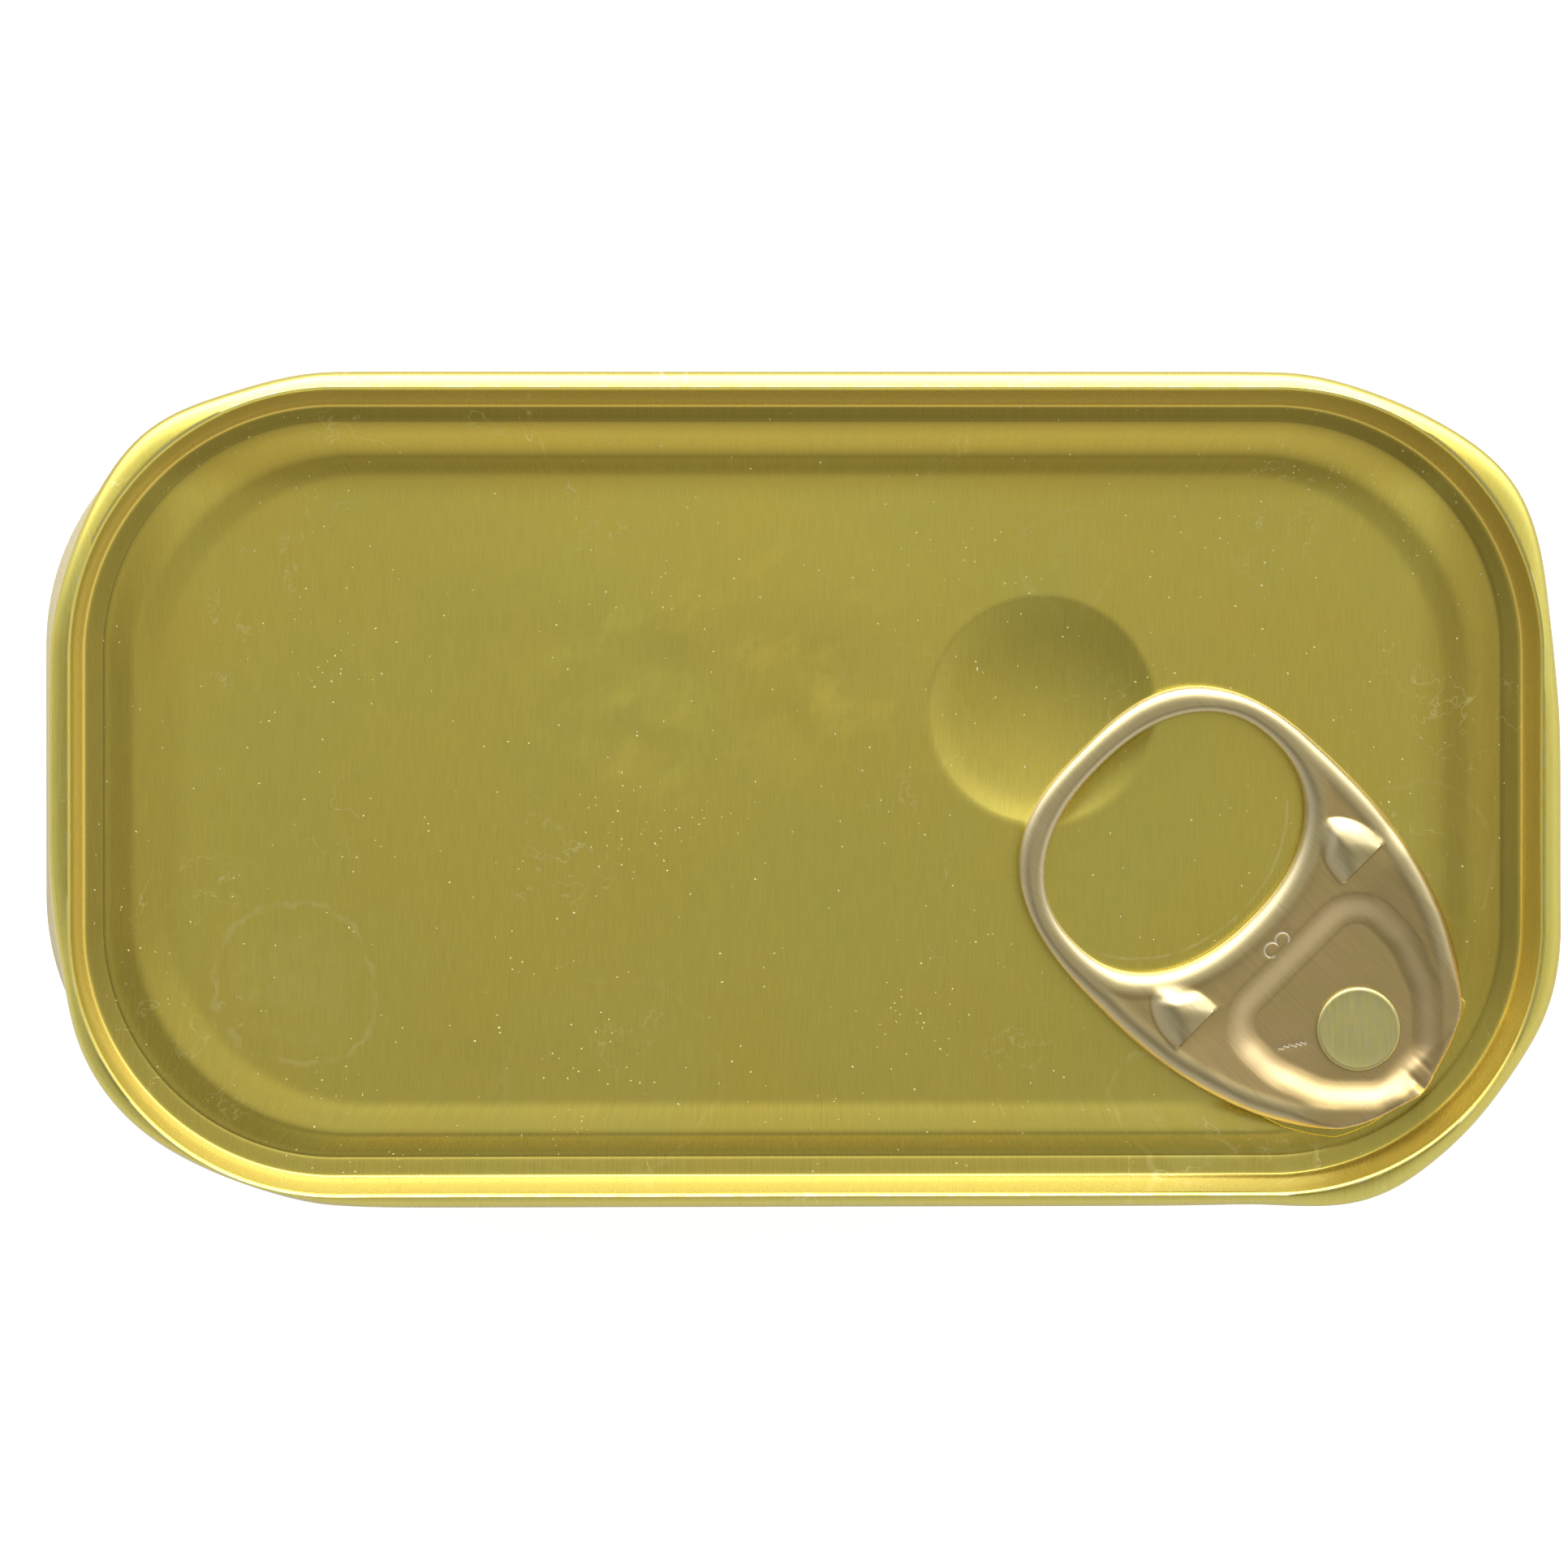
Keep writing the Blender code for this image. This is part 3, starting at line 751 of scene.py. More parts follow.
def seamProfile():
    # inset, depth below the ridge and share of the corners' unevenness
    lowest = tin["seamHeight"]
    under = [(lid["plugInset"], lowest, 0.0), *lid["seamFoot"]]
    hook = []
    across, down = lid["hookRadii"]
    for step in range(7):
        angle = math.pi / 2.0 * step / 6.0
        inset = 0.05 + across * (1.0 - math.sin(angle))
        hook.append((inset, lowest - down * (1.0 - math.cos(angle)), 0.85 + 0.02 * step))
    # the shoulder and the lip meet in a blunt crest
    shoulder = []
    turn = math.radians(lid["shoulderTurn"])
    for step in range(13):
        angle = turn * step / 12.0
        inset = lid["ridgeInset"] * (1.0 - math.cos(angle)) / (1.0 - math.cos(turn))
        depth = lid["shoulderDepth"] * (1.0 - math.sin(angle) / math.sin(turn))
        shoulder.append((inset, depth, math.cos(math.pi / 2.0 * step / 12.0)))
    wallTop, wallFoot, ledgeStart = (Vector(lid[name])
                                     for name in ("wallTop", "wallFoot", "ledgeStart"))
    lip = []
    turn = math.radians(lid["lipTurn"])
    for step in range(1, 7):
        angle = turn + (math.pi / 2.0 - turn) * step / 6.0
        across = (math.sin(angle) - math.sin(turn)) / (1.0 - math.sin(turn))
        down = 1.0 - math.cos(angle) / math.cos(turn)
        lip.append((lid["ridgeInset"] + lid["lipWidth"] * across, wallTop.y * down, 0.0))
    # the chuck wall leans inwards and runs out into the ledge
    lean = (wallFoot.x - wallTop.x) / (wallFoot.y - wallTop.y)
    bend = Vector((wallFoot.x + (ledgeStart.y - wallFoot.y) * lean, ledgeStart.y))
    wall = [(*wallTop.lerp(wallFoot, share), 0.0) for share in np.linspace(0.1, 1.0, 8)]
    fillet = []
    for share in np.linspace(0.1, 1.0, 10):
        onCurve = wallFoot.lerp(bend, share).lerp(bend.lerp(ledgeStart, share), share)
        fillet.append((*onCurve, 0.0))
    return under + hook + list(lid["seamFace"]) + shoulder + lip + wall + fillet


def panelProfile():
    score, half = tin["scoreInset"], lid["scoreWidth"] / 2.0
    foot = lid["ledgeDepth"] + lid["ledgeDrop"]
    startInset, startDepth = lid["ledgeStart"]
    fall = (foot - startDepth) / (score - half - startInset)
    ledge = [(inset, startDepth + fall * (inset - startInset), 0.0)
             for inset in (2.45, 2.65, 2.9, 3.15, score - half)]
    groove = [(score - half * 0.3, foot + lid["scoreDepth"], 0.0),
              (score + half * 0.3, foot + lid["scoreDepth"], 0.0),
              (score + half, foot, 0.0)]
    crest = tin["panelDepth"] - lid["beadRise"]
    corners = [(score, foot), (lid["beadStart"], foot), (lid["beadInset"] - 0.15, crest),
               (lid["beadInset"] + 0.1, crest), (lid["beadEnd"] - 0.1, tin["panelDepth"]),
               (lid["panelInset"], tin["panelDepth"])]
    bead = softened(corners, lid["beadBlur"], 38, score + half + 0.06, lid["panelInset"])
    return ledge + groove + [(inset, depth, 0.0) for inset, depth in bead]


def panelHeight(points):
    x, y = points[:, 0], points[:, 1]
    edge, _ = tinOutline(lid["panelInset"])
    fade = ease((distanceTo(points, edge) - 0.5) / 5.0)
    lift = np.zeros(len(points))
    for waveX, waveY, phase in lid["waves"]:
        lift += np.sin(waveX * x + waveY * y + phase) * lid["waviness"] / 2.0
    for dentX, dentY in lid["dents"]:
        lift -= lid["dentDepth"] * bell(np.hypot(x - dentX, y - dentY), lid["dentReach"])
    lift *= fade
    away = np.hypot(x - lid["dimpleMiddle"][0], y - lid["dimpleMiddle"][1])
    wall = ease((lid["dimpleRadius"] - away) / lid["dimpleWall"])
    bowl = np.clip(1.0 - (away / (lid["dimpleRadius"] - lid["dimpleBowlEdge"])) ** 2.0, 0.0, 1.0)
    flat = lift * (1.0 - wall)
    lean = lid["dimpleLean"] * (y - lid["dimpleMiddle"][1])
    return panelTop + flat + (lean - lid["dimpleWallDrop"]) * wall - lid["dimpleBowlDrop"] * bowl


def shiftedRing(inset, depth, spread):
    # the ridge and the bead are moved over; the seam's underside and its hook stay
    points, outwards = tinOutline(inset, spread)
    if depth < 2.55 or inset > lid["plugInset"] + 0.05:
        points[:, 1] -= lid["ridgeShift"] * ease(inset / 0.8) * ease((3.2 - inset) / 0.9)
        points[:, 1] -= lid["beadShift"] * bell(inset - lid["beadInset"] - 0.1, 0.7)
        pinch = lid["ridgePinch"] * ease(inset / 0.8) * ease((1.85 - inset) / 0.65)
        points -= outwards * pinch * outwards[:, :1] ** 4
    return points


def dimplePoints(middle):
    around = np.arange(0.0, math.tau, math.tau / 72.0)
    spokes = np.column_stack([np.cos(around), np.sin(around)])
    radii = np.concatenate([np.arange(0.5, 4.8, 0.6), np.arange(5.0, 8.3, 0.22), [8.7, 9.1]])
    return np.vstack([[middle]] + [middle + spokes * radius for radius in radii])


def sheetMarks(shell, profile, rings):
    # which rings are the chuck wall, and the ledge mark: painted shade on the ledge at its foot and a
    # painted shadow in the score line, less a painted highlight along the fillet
    wall, ledge = np.zeros(len(shell.points)), np.zeros(len(shell.points))
    score = tin["scoreInset"]
    for (inset, depth, _), loop in zip(profile, rings):
        wall[loop] = ease((inset - 1.05) / 0.2) * ease((3.72 - depth) / 0.15) * (inset < 2.5)
        # painted shade on the ledge beside the chuck wall
        ledge[loop] = ease((inset - 2.2) / 0.3) * ease((score + 0.3 - inset) / 0.3)
        # painted shadow in the score line
        ledge[loop] += 0.7 * bell(inset - score, 0.05)
        # painted highlight: a light line along the fillet at the wall's foot
        ledge[loop] -= 1.8 * bell(inset - 2.2, 0.13) * (depth > 2.9)
    return {"wall": wall, "ledge": ledge}


def buildLid():
    shell = Shell()
    profile = seamProfile() + panelProfile()
    edge, outwards = tinOutline(lid["panelInset"])
    steps = np.array([(inset, depth) for inset, depth, _ in profile])
    lengths = np.concatenate([[0.0], np.cumsum(np.linalg.norm(np.diff(steps, axis=0), axis=1))])
    rings = []
    for (inset, depth, spread), length in zip(profile, lengths):
        unrolled = edge + outwards * (lengths[-1] - length)
        rings.append(shell.ring(shiftedRing(inset, depth, spread), tin["height"] - depth, unrolled))
    shell.bands(rings)
    plug = shell.ring(tinOutline(lid["plugInset"])[0], tin["height"] - lid["plugDepth"])
    shell.band(plug, rings[0])
    shell.fill([plug])
    middle = np.array(lid["dimpleMiddle"])
    free = gridPoints((-42.0, -21.0), (42.0, 21.0), lid["panelGrid"])
    free = free[np.hypot(*(free - middle).T) > lid["dimpleClear"]]
    inner = np.vstack([dimplePoints(middle), free])
    inner = inner[inLoop(inner, edge)]
    inner = inner[distanceTo(inner, edge) > 0.5]
    shell.fill([rings[-1]], inner, panelHeight)
    return shell.build("lidSheet", goldMaterial, sheetMarks(shell, profile, rings))


lidSheet = buildLid()
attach(lidSheet, "root")
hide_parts("lid")
print("lid sheet:", len(lidSheet.data.polygons), "faces")

# The rivet head that holds the ring pull.

rivet = {
    "steps": 84,
    "headTop": 1.66,
    "profile": ((1.75, -1.88), (1.62, -1.6), (1.6, -0.5), (2.55, -0.5), (2.7, -0.42), (2.75, -0.3),
                (2.75, -0.2), (2.73, -0.12), (2.68, -0.06), (2.6, -0.015), (2.5, 0.0), (2.42, -0.008),
                (2.3, -0.018), (1.8, -0.022), (1.2, -0.018), (0.6, -0.012)),
}


def buildRivet():
    shell = Shell()
    around = np.arange(rivet["steps"]) * math.tau / rivet["steps"]
    spokes = np.column_stack([np.cos(around), np.sin(around)])
    headTop = panelTop + rivet["headTop"]
    rings = [shell.ring(spokes * radius + tin["rivet"], headTop + height)
             for radius, height in rivet["profile"]]
    shell.bands(rings)
    for loop, height in ((rings[0], rivet["profile"][0][1]), (rings[-1], rivet["profile"][-1][1])):
        middle = shell.ring(np.array([tin["rivet"]]), headTop + height)[0]
        shell.fan(loop, middle)
    return shell.build("rivetButton", rivetMaterial)


rivetButton = buildRivet()
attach(rivetButton, "root")
print("rivet button:", len(rivetButton.data.polygons), "faces")

# The ring pull, in its own upright frame: the rivet at the origin, the ring along +Y.
# Heights are above the lid's panel.

pull = {
    "shift": 0.14,              # the tab sits a little off the rivet's middle
    "halfWidth": 11.15,
    "middle": 12.0,
    "ringReach": 13.72,
    "ringFullness": 2.85,
    "flankReach": 18.2,
    "noseHalfWidth": 5.5,
    "noseTip": -5.6,
    "noseRadius": 9.34,
    "noseLip": 0.32,
    "noseLipWidth": 1.2,
    "holeMiddle": 17.1,
    "holeHalfWidth": 9.2,
    "holeHalfHeight": 6.98,
    "holeFullness": 2.25,
    "underside": 0.62,
    "web": 1.95,
    "rollWidth": 1.08,          # from the outline to the top of its roll
    "holeRoll": 1.38,
    "barTaken": 0.9,            # how much of the ring's bar both rolls may take
    "barShare": 0.45,           # how much of it the outline's roll may take
    "tipExtra": 0.13,           # more of it at the ring's tip, and at its +X side
    "tipStart": 19.0,
    "sideExtra": 0.07,
    "rollSlope": 62.0,          # how steeply the rolls meet the edges
    "rollTuck": 0.4,            # share of the roll by which its underside is drawn in
    "cutEnd": -3.9,             # up to here the edge is a plain cut
    "cutFade": 3.4,
    "hemLift": 0.06,
    "hemFall": 0.5,
    "flankRise": 0.11,          # slope of the web beside the island, up to the flanks
    "flankStart": 6.3,
    "flankWidth": 2.6,
    "flankEnd": 8.2,
    "island": ((5.05, 5.4, 1.3), (5.05, 2.2, 3.5), (3.9, -0.9, 3.5), (1.65, -3.2, 1.0)),
    "rampWidth": 2.0,           # the web drops to the island over this width
    "islandDrop": 0.88,
    "domes": ((-7.6, 7.6), (7.72, 7.5)),
    "domeHalfWidth": 2.0,
    "domeLength": 3.85,
    "domeLift": 0.85,
    "domeHip": 1.0,             # length of the flat facet at the cut
    "domeCut": 0.6,             # share of the lift that the facet starts with
    "domeFlat": 0.3,            # share of the length along which the ridge is level
    "domeBlend": 0.25,
    "lobeMiddle": -1.45,
    "lobeReach": 0.95,
    "lobeLift": 0.3,
    "noseDroop": 0.34,
    "noseStart": -3.4,
    "droopStart": -4.2,
    "grooves": (0.15, 1.25),
    "grooveWidth": 0.16,
    "grooveDepth": 0.1,
    "edgeSpacing": 0.25,
    "crestWidth": 0.22,
    "drawnReach": 1.6,
}


def superellipse(angle, halfWidth, halfHeight, fullness):
    x = np.abs(np.cos(angle)) ** (2.0 / fullness) * halfWidth * np.sign(np.cos(angle))
    y = np.abs(np.sin(angle)) ** (2.0 / fullness) * halfHeight * np.sign(np.sin(angle))
    return np.column_stack([x, y])


def pullOutline():
    ringEnd = superellipse(np.linspace(0.0, math.pi, 400), pull["halfWidth"], pull["ringReach"],
                           pull["ringFullness"]) + (0.0, pull["middle"])
    flankEnd = math.acos(pull["noseHalfWidth"] / pull["halfWidth"])
    angles = np.linspace(math.pi, math.pi + flankEnd, 80)[1:]
    flank = np.column_stack([pull["halfWidth"] * np.cos(angles),
                             pull["middle"] + pull["flankReach"] * np.sin(angles)])
    across = np.linspace(-pull["noseHalfWidth"], pull["noseHalfWidth"], 60)[1:-1]
    rise = pull["noseRadius"] - np.sqrt(pull["noseRadius"] ** 2 - across ** 2)
    nose = np.column_stack([across, pull["noseTip"] + rise
                            - pull["noseLip"] * bell(across, pull["noseLipWidth"])])
    otherFlank = flank[::-1] * (-1.0, 1.0)
    return evenly(np.vstack([ringEnd, flank, nose, otherFlank]), pull["edgeSpacing"])


def holeOutline():
    angles = np.linspace(0.0, math.tau, 600, endpoint=False)
    loop = superellipse(angles, pull["holeHalfWidth"], pull["holeHalfHeight"], pull["holeFullness"])
    return evenly(loop + (0.0, pull["holeMiddle"]), pull["edgeSpacing"])


def roundedLoop(corners, arcSteps=14):
    # Outline that is the same left and right, listed down its +X side; runs clockwise.
    full = [Vector((x, y)) for x, y, _ in corners] + [Vector((-x, y)) for x, y, _ in reversed(corners)]
    radii = [radius for _, _, radius in corners]
    radii += radii[::-1]
    points = []
    for index, corner in enumerate(full):
        toLast = (full[index - 1] - corner).normalized()
        toNext = (full[(index + 1) % len(full)] - corner).normalized()
        halfAngle = toLast.angle(toNext) / 2.0
        middle = corner + (toLast + toNext).normalized() * (radii[index] / math.sin(halfAngle))
        start = corner + toLast * (radii[index] / math.tan(halfAngle)) - middle
        sweep = toLast.angle_signed(toNext)
        turn = math.copysign(math.pi - abs(sweep), sweep)
        for step in range(arcSteps + 1):
            spoke = start.copy()
            spoke.rotate(Matrix.Rotation(turn * step / arcSteps, 2))
            points.append(tuple(middle + spoke))
    loop = evenly(np.array(points), pull["edgeSpacing"])
    area = np.sum(loop[:, 0] * np.roll(loop[:, 1], -1) - np.roll(loop[:, 0], -1) * loop[:, 1])
    return loop if area > 0.0 else loop[::-1]


marks = {
    # both arcs of a plain 3: middle, radius, and the angles between which it runs
    "numeral": ((1.43, 0.5, 150.0, -90.0), (0.47, 0.47, 90.0, -150.0)),
    "numeralPlace": (0.95, 7.15),
    "numeralShift": 0.55,
    "numeralStretch": 0.95,
    "numeralWidth": 0.06,
    "numeralDepth": 0.035,
    # where each scratch starts, how far it runs, and its ripples
    "scratches": (((-4.75, 2.72), (0.75, -0.3), 0.09, 14.0),
                  ((-4.0, 2.3), (0.85, -0.5), 0.12, 19.0)),
    "scratchWidth": 0.035,
    "scratchDepth": 0.02,
}


def numeralStrokes():
    # The 3 lies on its side above the island.
    placeX, placeY = marks["numeralPlace"]
    strokes = []
    for middle, radius, first, last in marks["numeral"]:
        angles = np.radians(np.linspace(first, last, 26))
        across = marks["numeralShift"] + marks["numeralStretch"] * radius * np.cos(angles)
        up = middle + radius * np.sin(angles)
        strokes.append(np.column_stack([placeX - up, placeY + across]))
    return strokes


def scratchStrokes():
    along = np.linspace(0.0, 1.0, 18)
    strokes = []
    for (startX, startY), (reachX, reachY), ripple, turns in marks["scratches"]:
        bent = startY + reachY * along + ripple * np.sin(turns * along)
        strokes.append(np.column_stack([startX + reachX * along, bent]))
    return strokes


outerEdge = pullOutline()
holeEdge = holeOutline()
islandEdge = roundedLoop(pull["island"])
numeral = numeralStrokes()
scratches = scratchStrokes()


def rolledShare(points):
    # the rolled edge turns into a plain cut edge at the nose
    return ease((points[:, 1] - pull["cutEnd"]) / pull["cutFade"])


def rollScale(points):
    return 0.2 + 0.8 * rolledShare(points)


def rollWidths(points, outer, hole):
    # Width of the outline's roll and of the hole's; where the bar is narrow, they share it.
    share = pull["barShare"] + pull["tipExtra"] * ease((points[:, 1] - pull["tipStart"]) / 4.0)
    share += pull["sideExtra"] * np.clip(points[:, 0] / 9.0, -1.0, 1.0)
    scale = rollScale(points)
    return (np.minimum(pull["rollWidth"] * scale, share * (outer + hole)),
            np.minimum(pull["holeRoll"] * scale, (pull["barTaken"] - share) * (outer + hole)))


def strokeMask(points, strokes, width):
    near = np.min([distanceTo(points, stroke, closed=False) for stroke in strokes], axis=0)
    return bell(near, width)


def domeLift(points):
    # Each dome is a hood that a flat facet cuts off on the nose's side.
    lift = np.zeros(len(points))
    for middle, cutLine in pull["domes"]:
        along = (points[:, 1] - cutLine) / pull["domeLength"]
        taper = np.clip(1.0 - np.clip(along, 0.0, 1.0) ** 2.2, 0.0, 1.0)
        halfWidth = pull["domeHalfWidth"] * taper ** 0.62
        across = np.clip(np.abs(points[:, 0] - middle) / np.maximum(halfWidth, 1e-6), 0.0, 1.0)
        fall = np.clip((along - pull["domeFlat"]) / (1.0 - pull["domeFlat"]), 0.0, 1.0)
        ridge = np.sqrt(np.clip(1.0 - fall ** 2, 0.0, 1.0))
        hood = pull["domeLift"] * ridge * (1.0 - across ** 1.45)
        rise = (points[:, 1] - cutLine) / pull["domeHip"] * (1.0 - pull["domeCut"])
        facet = pull["domeLift"] * (pull["domeCut"] + rise)
        # a soft edge where the facet meets the hood
        blend = np.clip(0.5 + (facet - hood) / (2.0 * pull["domeBlend"]), 0.0, 1.0)
        lower = facet + (hood - facet) * blend - pull["domeBlend"] * blend * (1.0 - blend)
        lift = np.maximum(lift, np.where(along > 0.0, np.clip(lower, 0.0, None), 0.0))
    return lift


def islandDepth(points):
    # The web rolls down to the island in an even ramp.
    away = distanceTo(points, islandEdge) * np.where(inLoop(points, islandEdge), -1.0, 1.0)
    share = np.clip(away / pull["rampWidth"], 0.0, 1.0)
    return pull["islandDrop"] * (1.0 - share + np.sin(math.tau * share) * 0.35 / math.tau)


def noseLift(points):
    # A bulge left of the middle, a fall to its right and a fine groove between them.
    s, t = points.T
    down = ease((pull["noseStart"] - t) / 2.0)
    lift = pull["lobeLift"] * down * bell(s - pull["lobeMiddle"], pull["lobeReach"])
    lift -= pull["noseDroop"] * ease((pull["droopStart"] - t) / 1.5) * ease((s + 0.5) / 0.7)
    for middle in pull["grooves"]:
        lift -= pull["grooveDepth"] * down * bell(s - middle, pull["grooveWidth"])
    return lift


def pullTop(points, outer=None, hole=None):
    # Height of the pressed sheet's upper face, before the edge rolls over.
    outer = distanceTo(points, outerEdge) if outer is None else outer
    hole = distanceTo(points, holeEdge) if hole is None else hole
    outerHem = ease(1.0 - (outer - pull["rollWidth"]) / pull["hemFall"]) * rolledShare(points)
    holeHem = ease(1.0 - (hole - pull["holeRoll"]) / pull["hemFall"])
    beside = np.clip(np.abs(points[:, 0]) - pull["flankStart"], 0.0, pull["flankWidth"])
    rise = beside ** 2 / (beside + 0.5) * ease((pull["flankEnd"] - points[:, 1]) / 2.5)
    height = pull["web"] + pull["flankRise"] * rise + pull["hemLift"] * np.maximum(outerHem, holeHem)
    height += domeLift(points) * ease((hole - 0.75) / 1.7) + noseLift(points) - islandDepth(points)
    height -= marks["numeralDepth"] * strokeMask(points, numeral, marks["numeralWidth"])
    height -= marks["scratchDepth"] * strokeMask(points, scratches, marks["scratchWidth"])
    return height


def pullFace(points):
    # Upper face with both rolled edges.
    outer, hole = distanceTo(points, outerEdge), distanceTo(points, holeEdge)
    height = pullTop(points, outer, hole)
    for distance, width in zip((outer, hole), rollWidths(points, outer, hole)):
        radius = width / math.sin(math.radians(pull["rollSlope"]))
        short = np.clip(width - distance, 0.0, width)
        height -= radius - np.sqrt(radius ** 2 - short ** 2)
    return height


def rolledEdge(shell, loop, direction):
    # Rings from the underside round the edge; the last one is on the upper face.
    normals = inwardNormals(loop) * direction
    widths = rollWidths(loop, distanceTo(loop, outerEdge), distanceTo(loop, holeEdge))
    width = widths[0] if direction > 0.0 else widths[1]
    slope = math.radians(pull["rollSlope"])
    radius = width / math.sin(slope)
    edgeTop = pullTop(loop) - radius * (1.0 - math.cos(slope))
    middle = (edgeTop + pull["underside"]) / 2.0
    rings = []
    for turn in np.linspace(0.0, math.pi / 2.0, 6):
        moved = loop + normals * (pull["rollTuck"] * width * (1.0 - math.sin(turn)))[:, None]
        rings.append(shell.ring(moved, middle - (middle - pull["underside"]) * math.cos(turn)))
    rings.append(shell.ring(loop, edgeTop - 0.04))
    for turn in np.linspace(slope, 0.0, 17):
        inset = width - radius * math.sin(turn)
        moved = loop + normals * np.maximum(inset, 0.012)[:, None]
        rings.append(shell.ring(moved, pullTop(moved) - radius * (1.0 - math.cos(turn))))
    return rings


def contourPoints(loop, direction, distances, spacing, scale=1.0):
    # Lines of points beside a loop; the scale of their distances may vary along it.
    normals = inwardNormals(loop) * direction
    scale = np.broadcast_to(scale, len(loop))
    found = []
    for distance in distances:
        moved = loop + normals * distance * scale[:, None]
        found.append(moved[distanceTo(moved, loop) > 0.96 * distance * scale])
    return np.vstack(found), spacing


def strokePoints(stroke, width):
    # Lines of points along a stroke and on both sides of it.
    known, wanted = np.linspace(0.0, 1.0, len(stroke)), np.linspace(0.0, 1.0, 60)
    fine = np.column_stack([np.interp(wanted, known, stroke[:, axis]) for axis in (0, 1)])
    along = np.gradient(fine, axis=0)
    across = np.column_stack([-along[:, 1], along[:, 0]]) / np.linalg.norm(along, axis=1)[:, None]
    return [fine + across * width * offset for offset in (-2.2, -1.2, -0.6, 0.0, 0.6, 1.2, 2.2)]


pullGrid = {
    "marks": 0.05,
    "domes": 0.12,
    "ramp": 0.13,
    "nose": 0.15,
    "hems": 0.16,
    "web": 0.45,
    "rampLines": (-0.28, 2.25, 19),     # first, last and how many
    "outerLines": (1.2, 1.35, 1.5, 1.65),
    "holeLines": (1.55, 1.7, 1.85),
}


def pullPoints():
    # Groups of points with their spacing, for the places that need their own first.
    strokes = []
    for stroke in numeral:
        strokes += strokePoints(stroke, marks["numeralWidth"])
    for stroke in scratches:
        strokes += strokePoints(stroke, marks["scratchWidth"])
    groups = [(np.vstack(strokes), pullGrid["marks"])]
    for middle, cutLine in pull["domes"]:
        low, high = (middle - 2.15, cutLine - 0.35), (middle + 2.15, cutLine + 4.1)
        groups.append((gridPoints(low, high, pullGrid["domes"]), pullGrid["domes"]))
    groups.append((gridPoints((-2.9, -6.0), (3.2, -3.0), pullGrid["nose"]), pullGrid["nose"]))
    ramp = np.linspace(*pullGrid["rampLines"])
    groups.append(contourPoints(islandEdge, -1.0, ramp, pullGrid["ramp"]))
    outer, hole = pullGrid["outerLines"], pullGrid["holeLines"]
    groups.append(contourPoints(outerEdge, 1.0, outer, pullGrid["hems"], rollScale(outerEdge)))
    groups.append(contourPoints(holeEdge, -1.0, hole, pullGrid["hems"]))
    groups.append((gridPoints((-11.0, -6.0), (11.0, 26.0), pullGrid["web"]), pullGrid["web"]))
    return groups


def pullMarks(points):
    # Where the hems' crests are worn, scratches are bare, the numeral gets a painted highlight, the
    # edge is cut and the sheet is drawn thin.
    outer, hole = distanceTo(points, outerEdge), distanceTo(points, holeEdge)
    crest = np.maximum(bell(outer - pull["rollWidth"], pull["crestWidth"]),
                       bell(hole - pull["rollWidth"], pull["crestWidth"]) * 0.6)
    # painted highlight: the numeral's strokes are painted pale; the scratches below are bare metal
    bareAndPaintedHighlight = strokeMask(points, numeral, marks["numeralWidth"]) * 0.75
    bareAndPaintedHighlight = np.maximum(bareAndPaintedHighlight, strokeMask(points, scratches, marks["scratchWidth"]) * 0.9)
    cutEdge = bell(outer, pull["crestWidth"]) * ease((-2.6 - points[:, 1]) / 0.8)
    drawn = ease((pull["drawnReach"] - np.minimum(outer, hole)) / 0.6)
    drawn *= ease((points[:, 1] + 3.0) / 3.0)
    drawn = np.maximum(drawn, ease(domeLift(points) / 0.4))
    return {"crest": crest, "bareAndPaintedHighlight": bareAndPaintedHighlight, "cutEdge": cutEdge, "drawn": drawn}


def buildPull():
    shell = Shell()
    outerRings = rolledEdge(shell, outerEdge, 1.0)
    holeRings = rolledEdge(shell, holeEdge, -1.0)
    shell.bands(outerRings)
    shell.bands(holeRings)
    shell.fill([outerRings[0], holeRings[0]])
    outerLoop = np.array([shell.points[index][:2] for index in outerRings[-1]])
    holeLoop = np.array([shell.points[index][:2] for index in holeRings[-1]])
    trimmed = []
    for points, spacing in pullPoints():
        points = points[inLoop(points, outerLoop) & ~inLoop(points, holeLoop)]
        clear = np.minimum(distanceTo(points, outerLoop), distanceTo(points, holeLoop))
        trimmed.append((points[clear > 0.08], spacing))
    shell.fill([outerRings[-1], holeRings[-1]], spaced(trimmed), pullFace)
    points = np.array(shell.points)[:, :2]
    shell.sheet = [tuple(point) for point in points]
    return shell.build("ringPull", pullMaterial, pullMarks(points), place=pullPlace)


pullPlace = Matrix.Translation((*tin["rivet"], panelTop))
pullPlace = pullPlace @ Matrix.Rotation(math.radians(tin["pullTurn"]), 4, "Z")
pullPlace = pullPlace @ Matrix.Translation((pull["shift"], 0.0, 0.0))
ringPull = buildPull()
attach(ringPull, "root")
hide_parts("ring_pull")
print("ring pull:", len(ringPull.data.polygons), "faces")

# The sheet's lower layer shows as a thin gold edge under the nose.

tongue = {
    "outline": ((-8.9, 1.2), (-8.1, -1.1), (-7.15, -2.7), (-6.25, -3.9), (-5.7, -4.25), (-4.0, -5.0),
                (-1.5, -5.5), (1.4, -5.5), (2.4, -5.35), (4.9, -4.4), (5.85, -4.0), (6.15, -3.75),
                (6.1, -3.3), (6.9, -2.2), (7.6, -0.9), (5.0, 1.2)),
    "low": 0.56,
    "high": 1.02,
    "edge": 0.1,
    "bevel": 0.03,
}


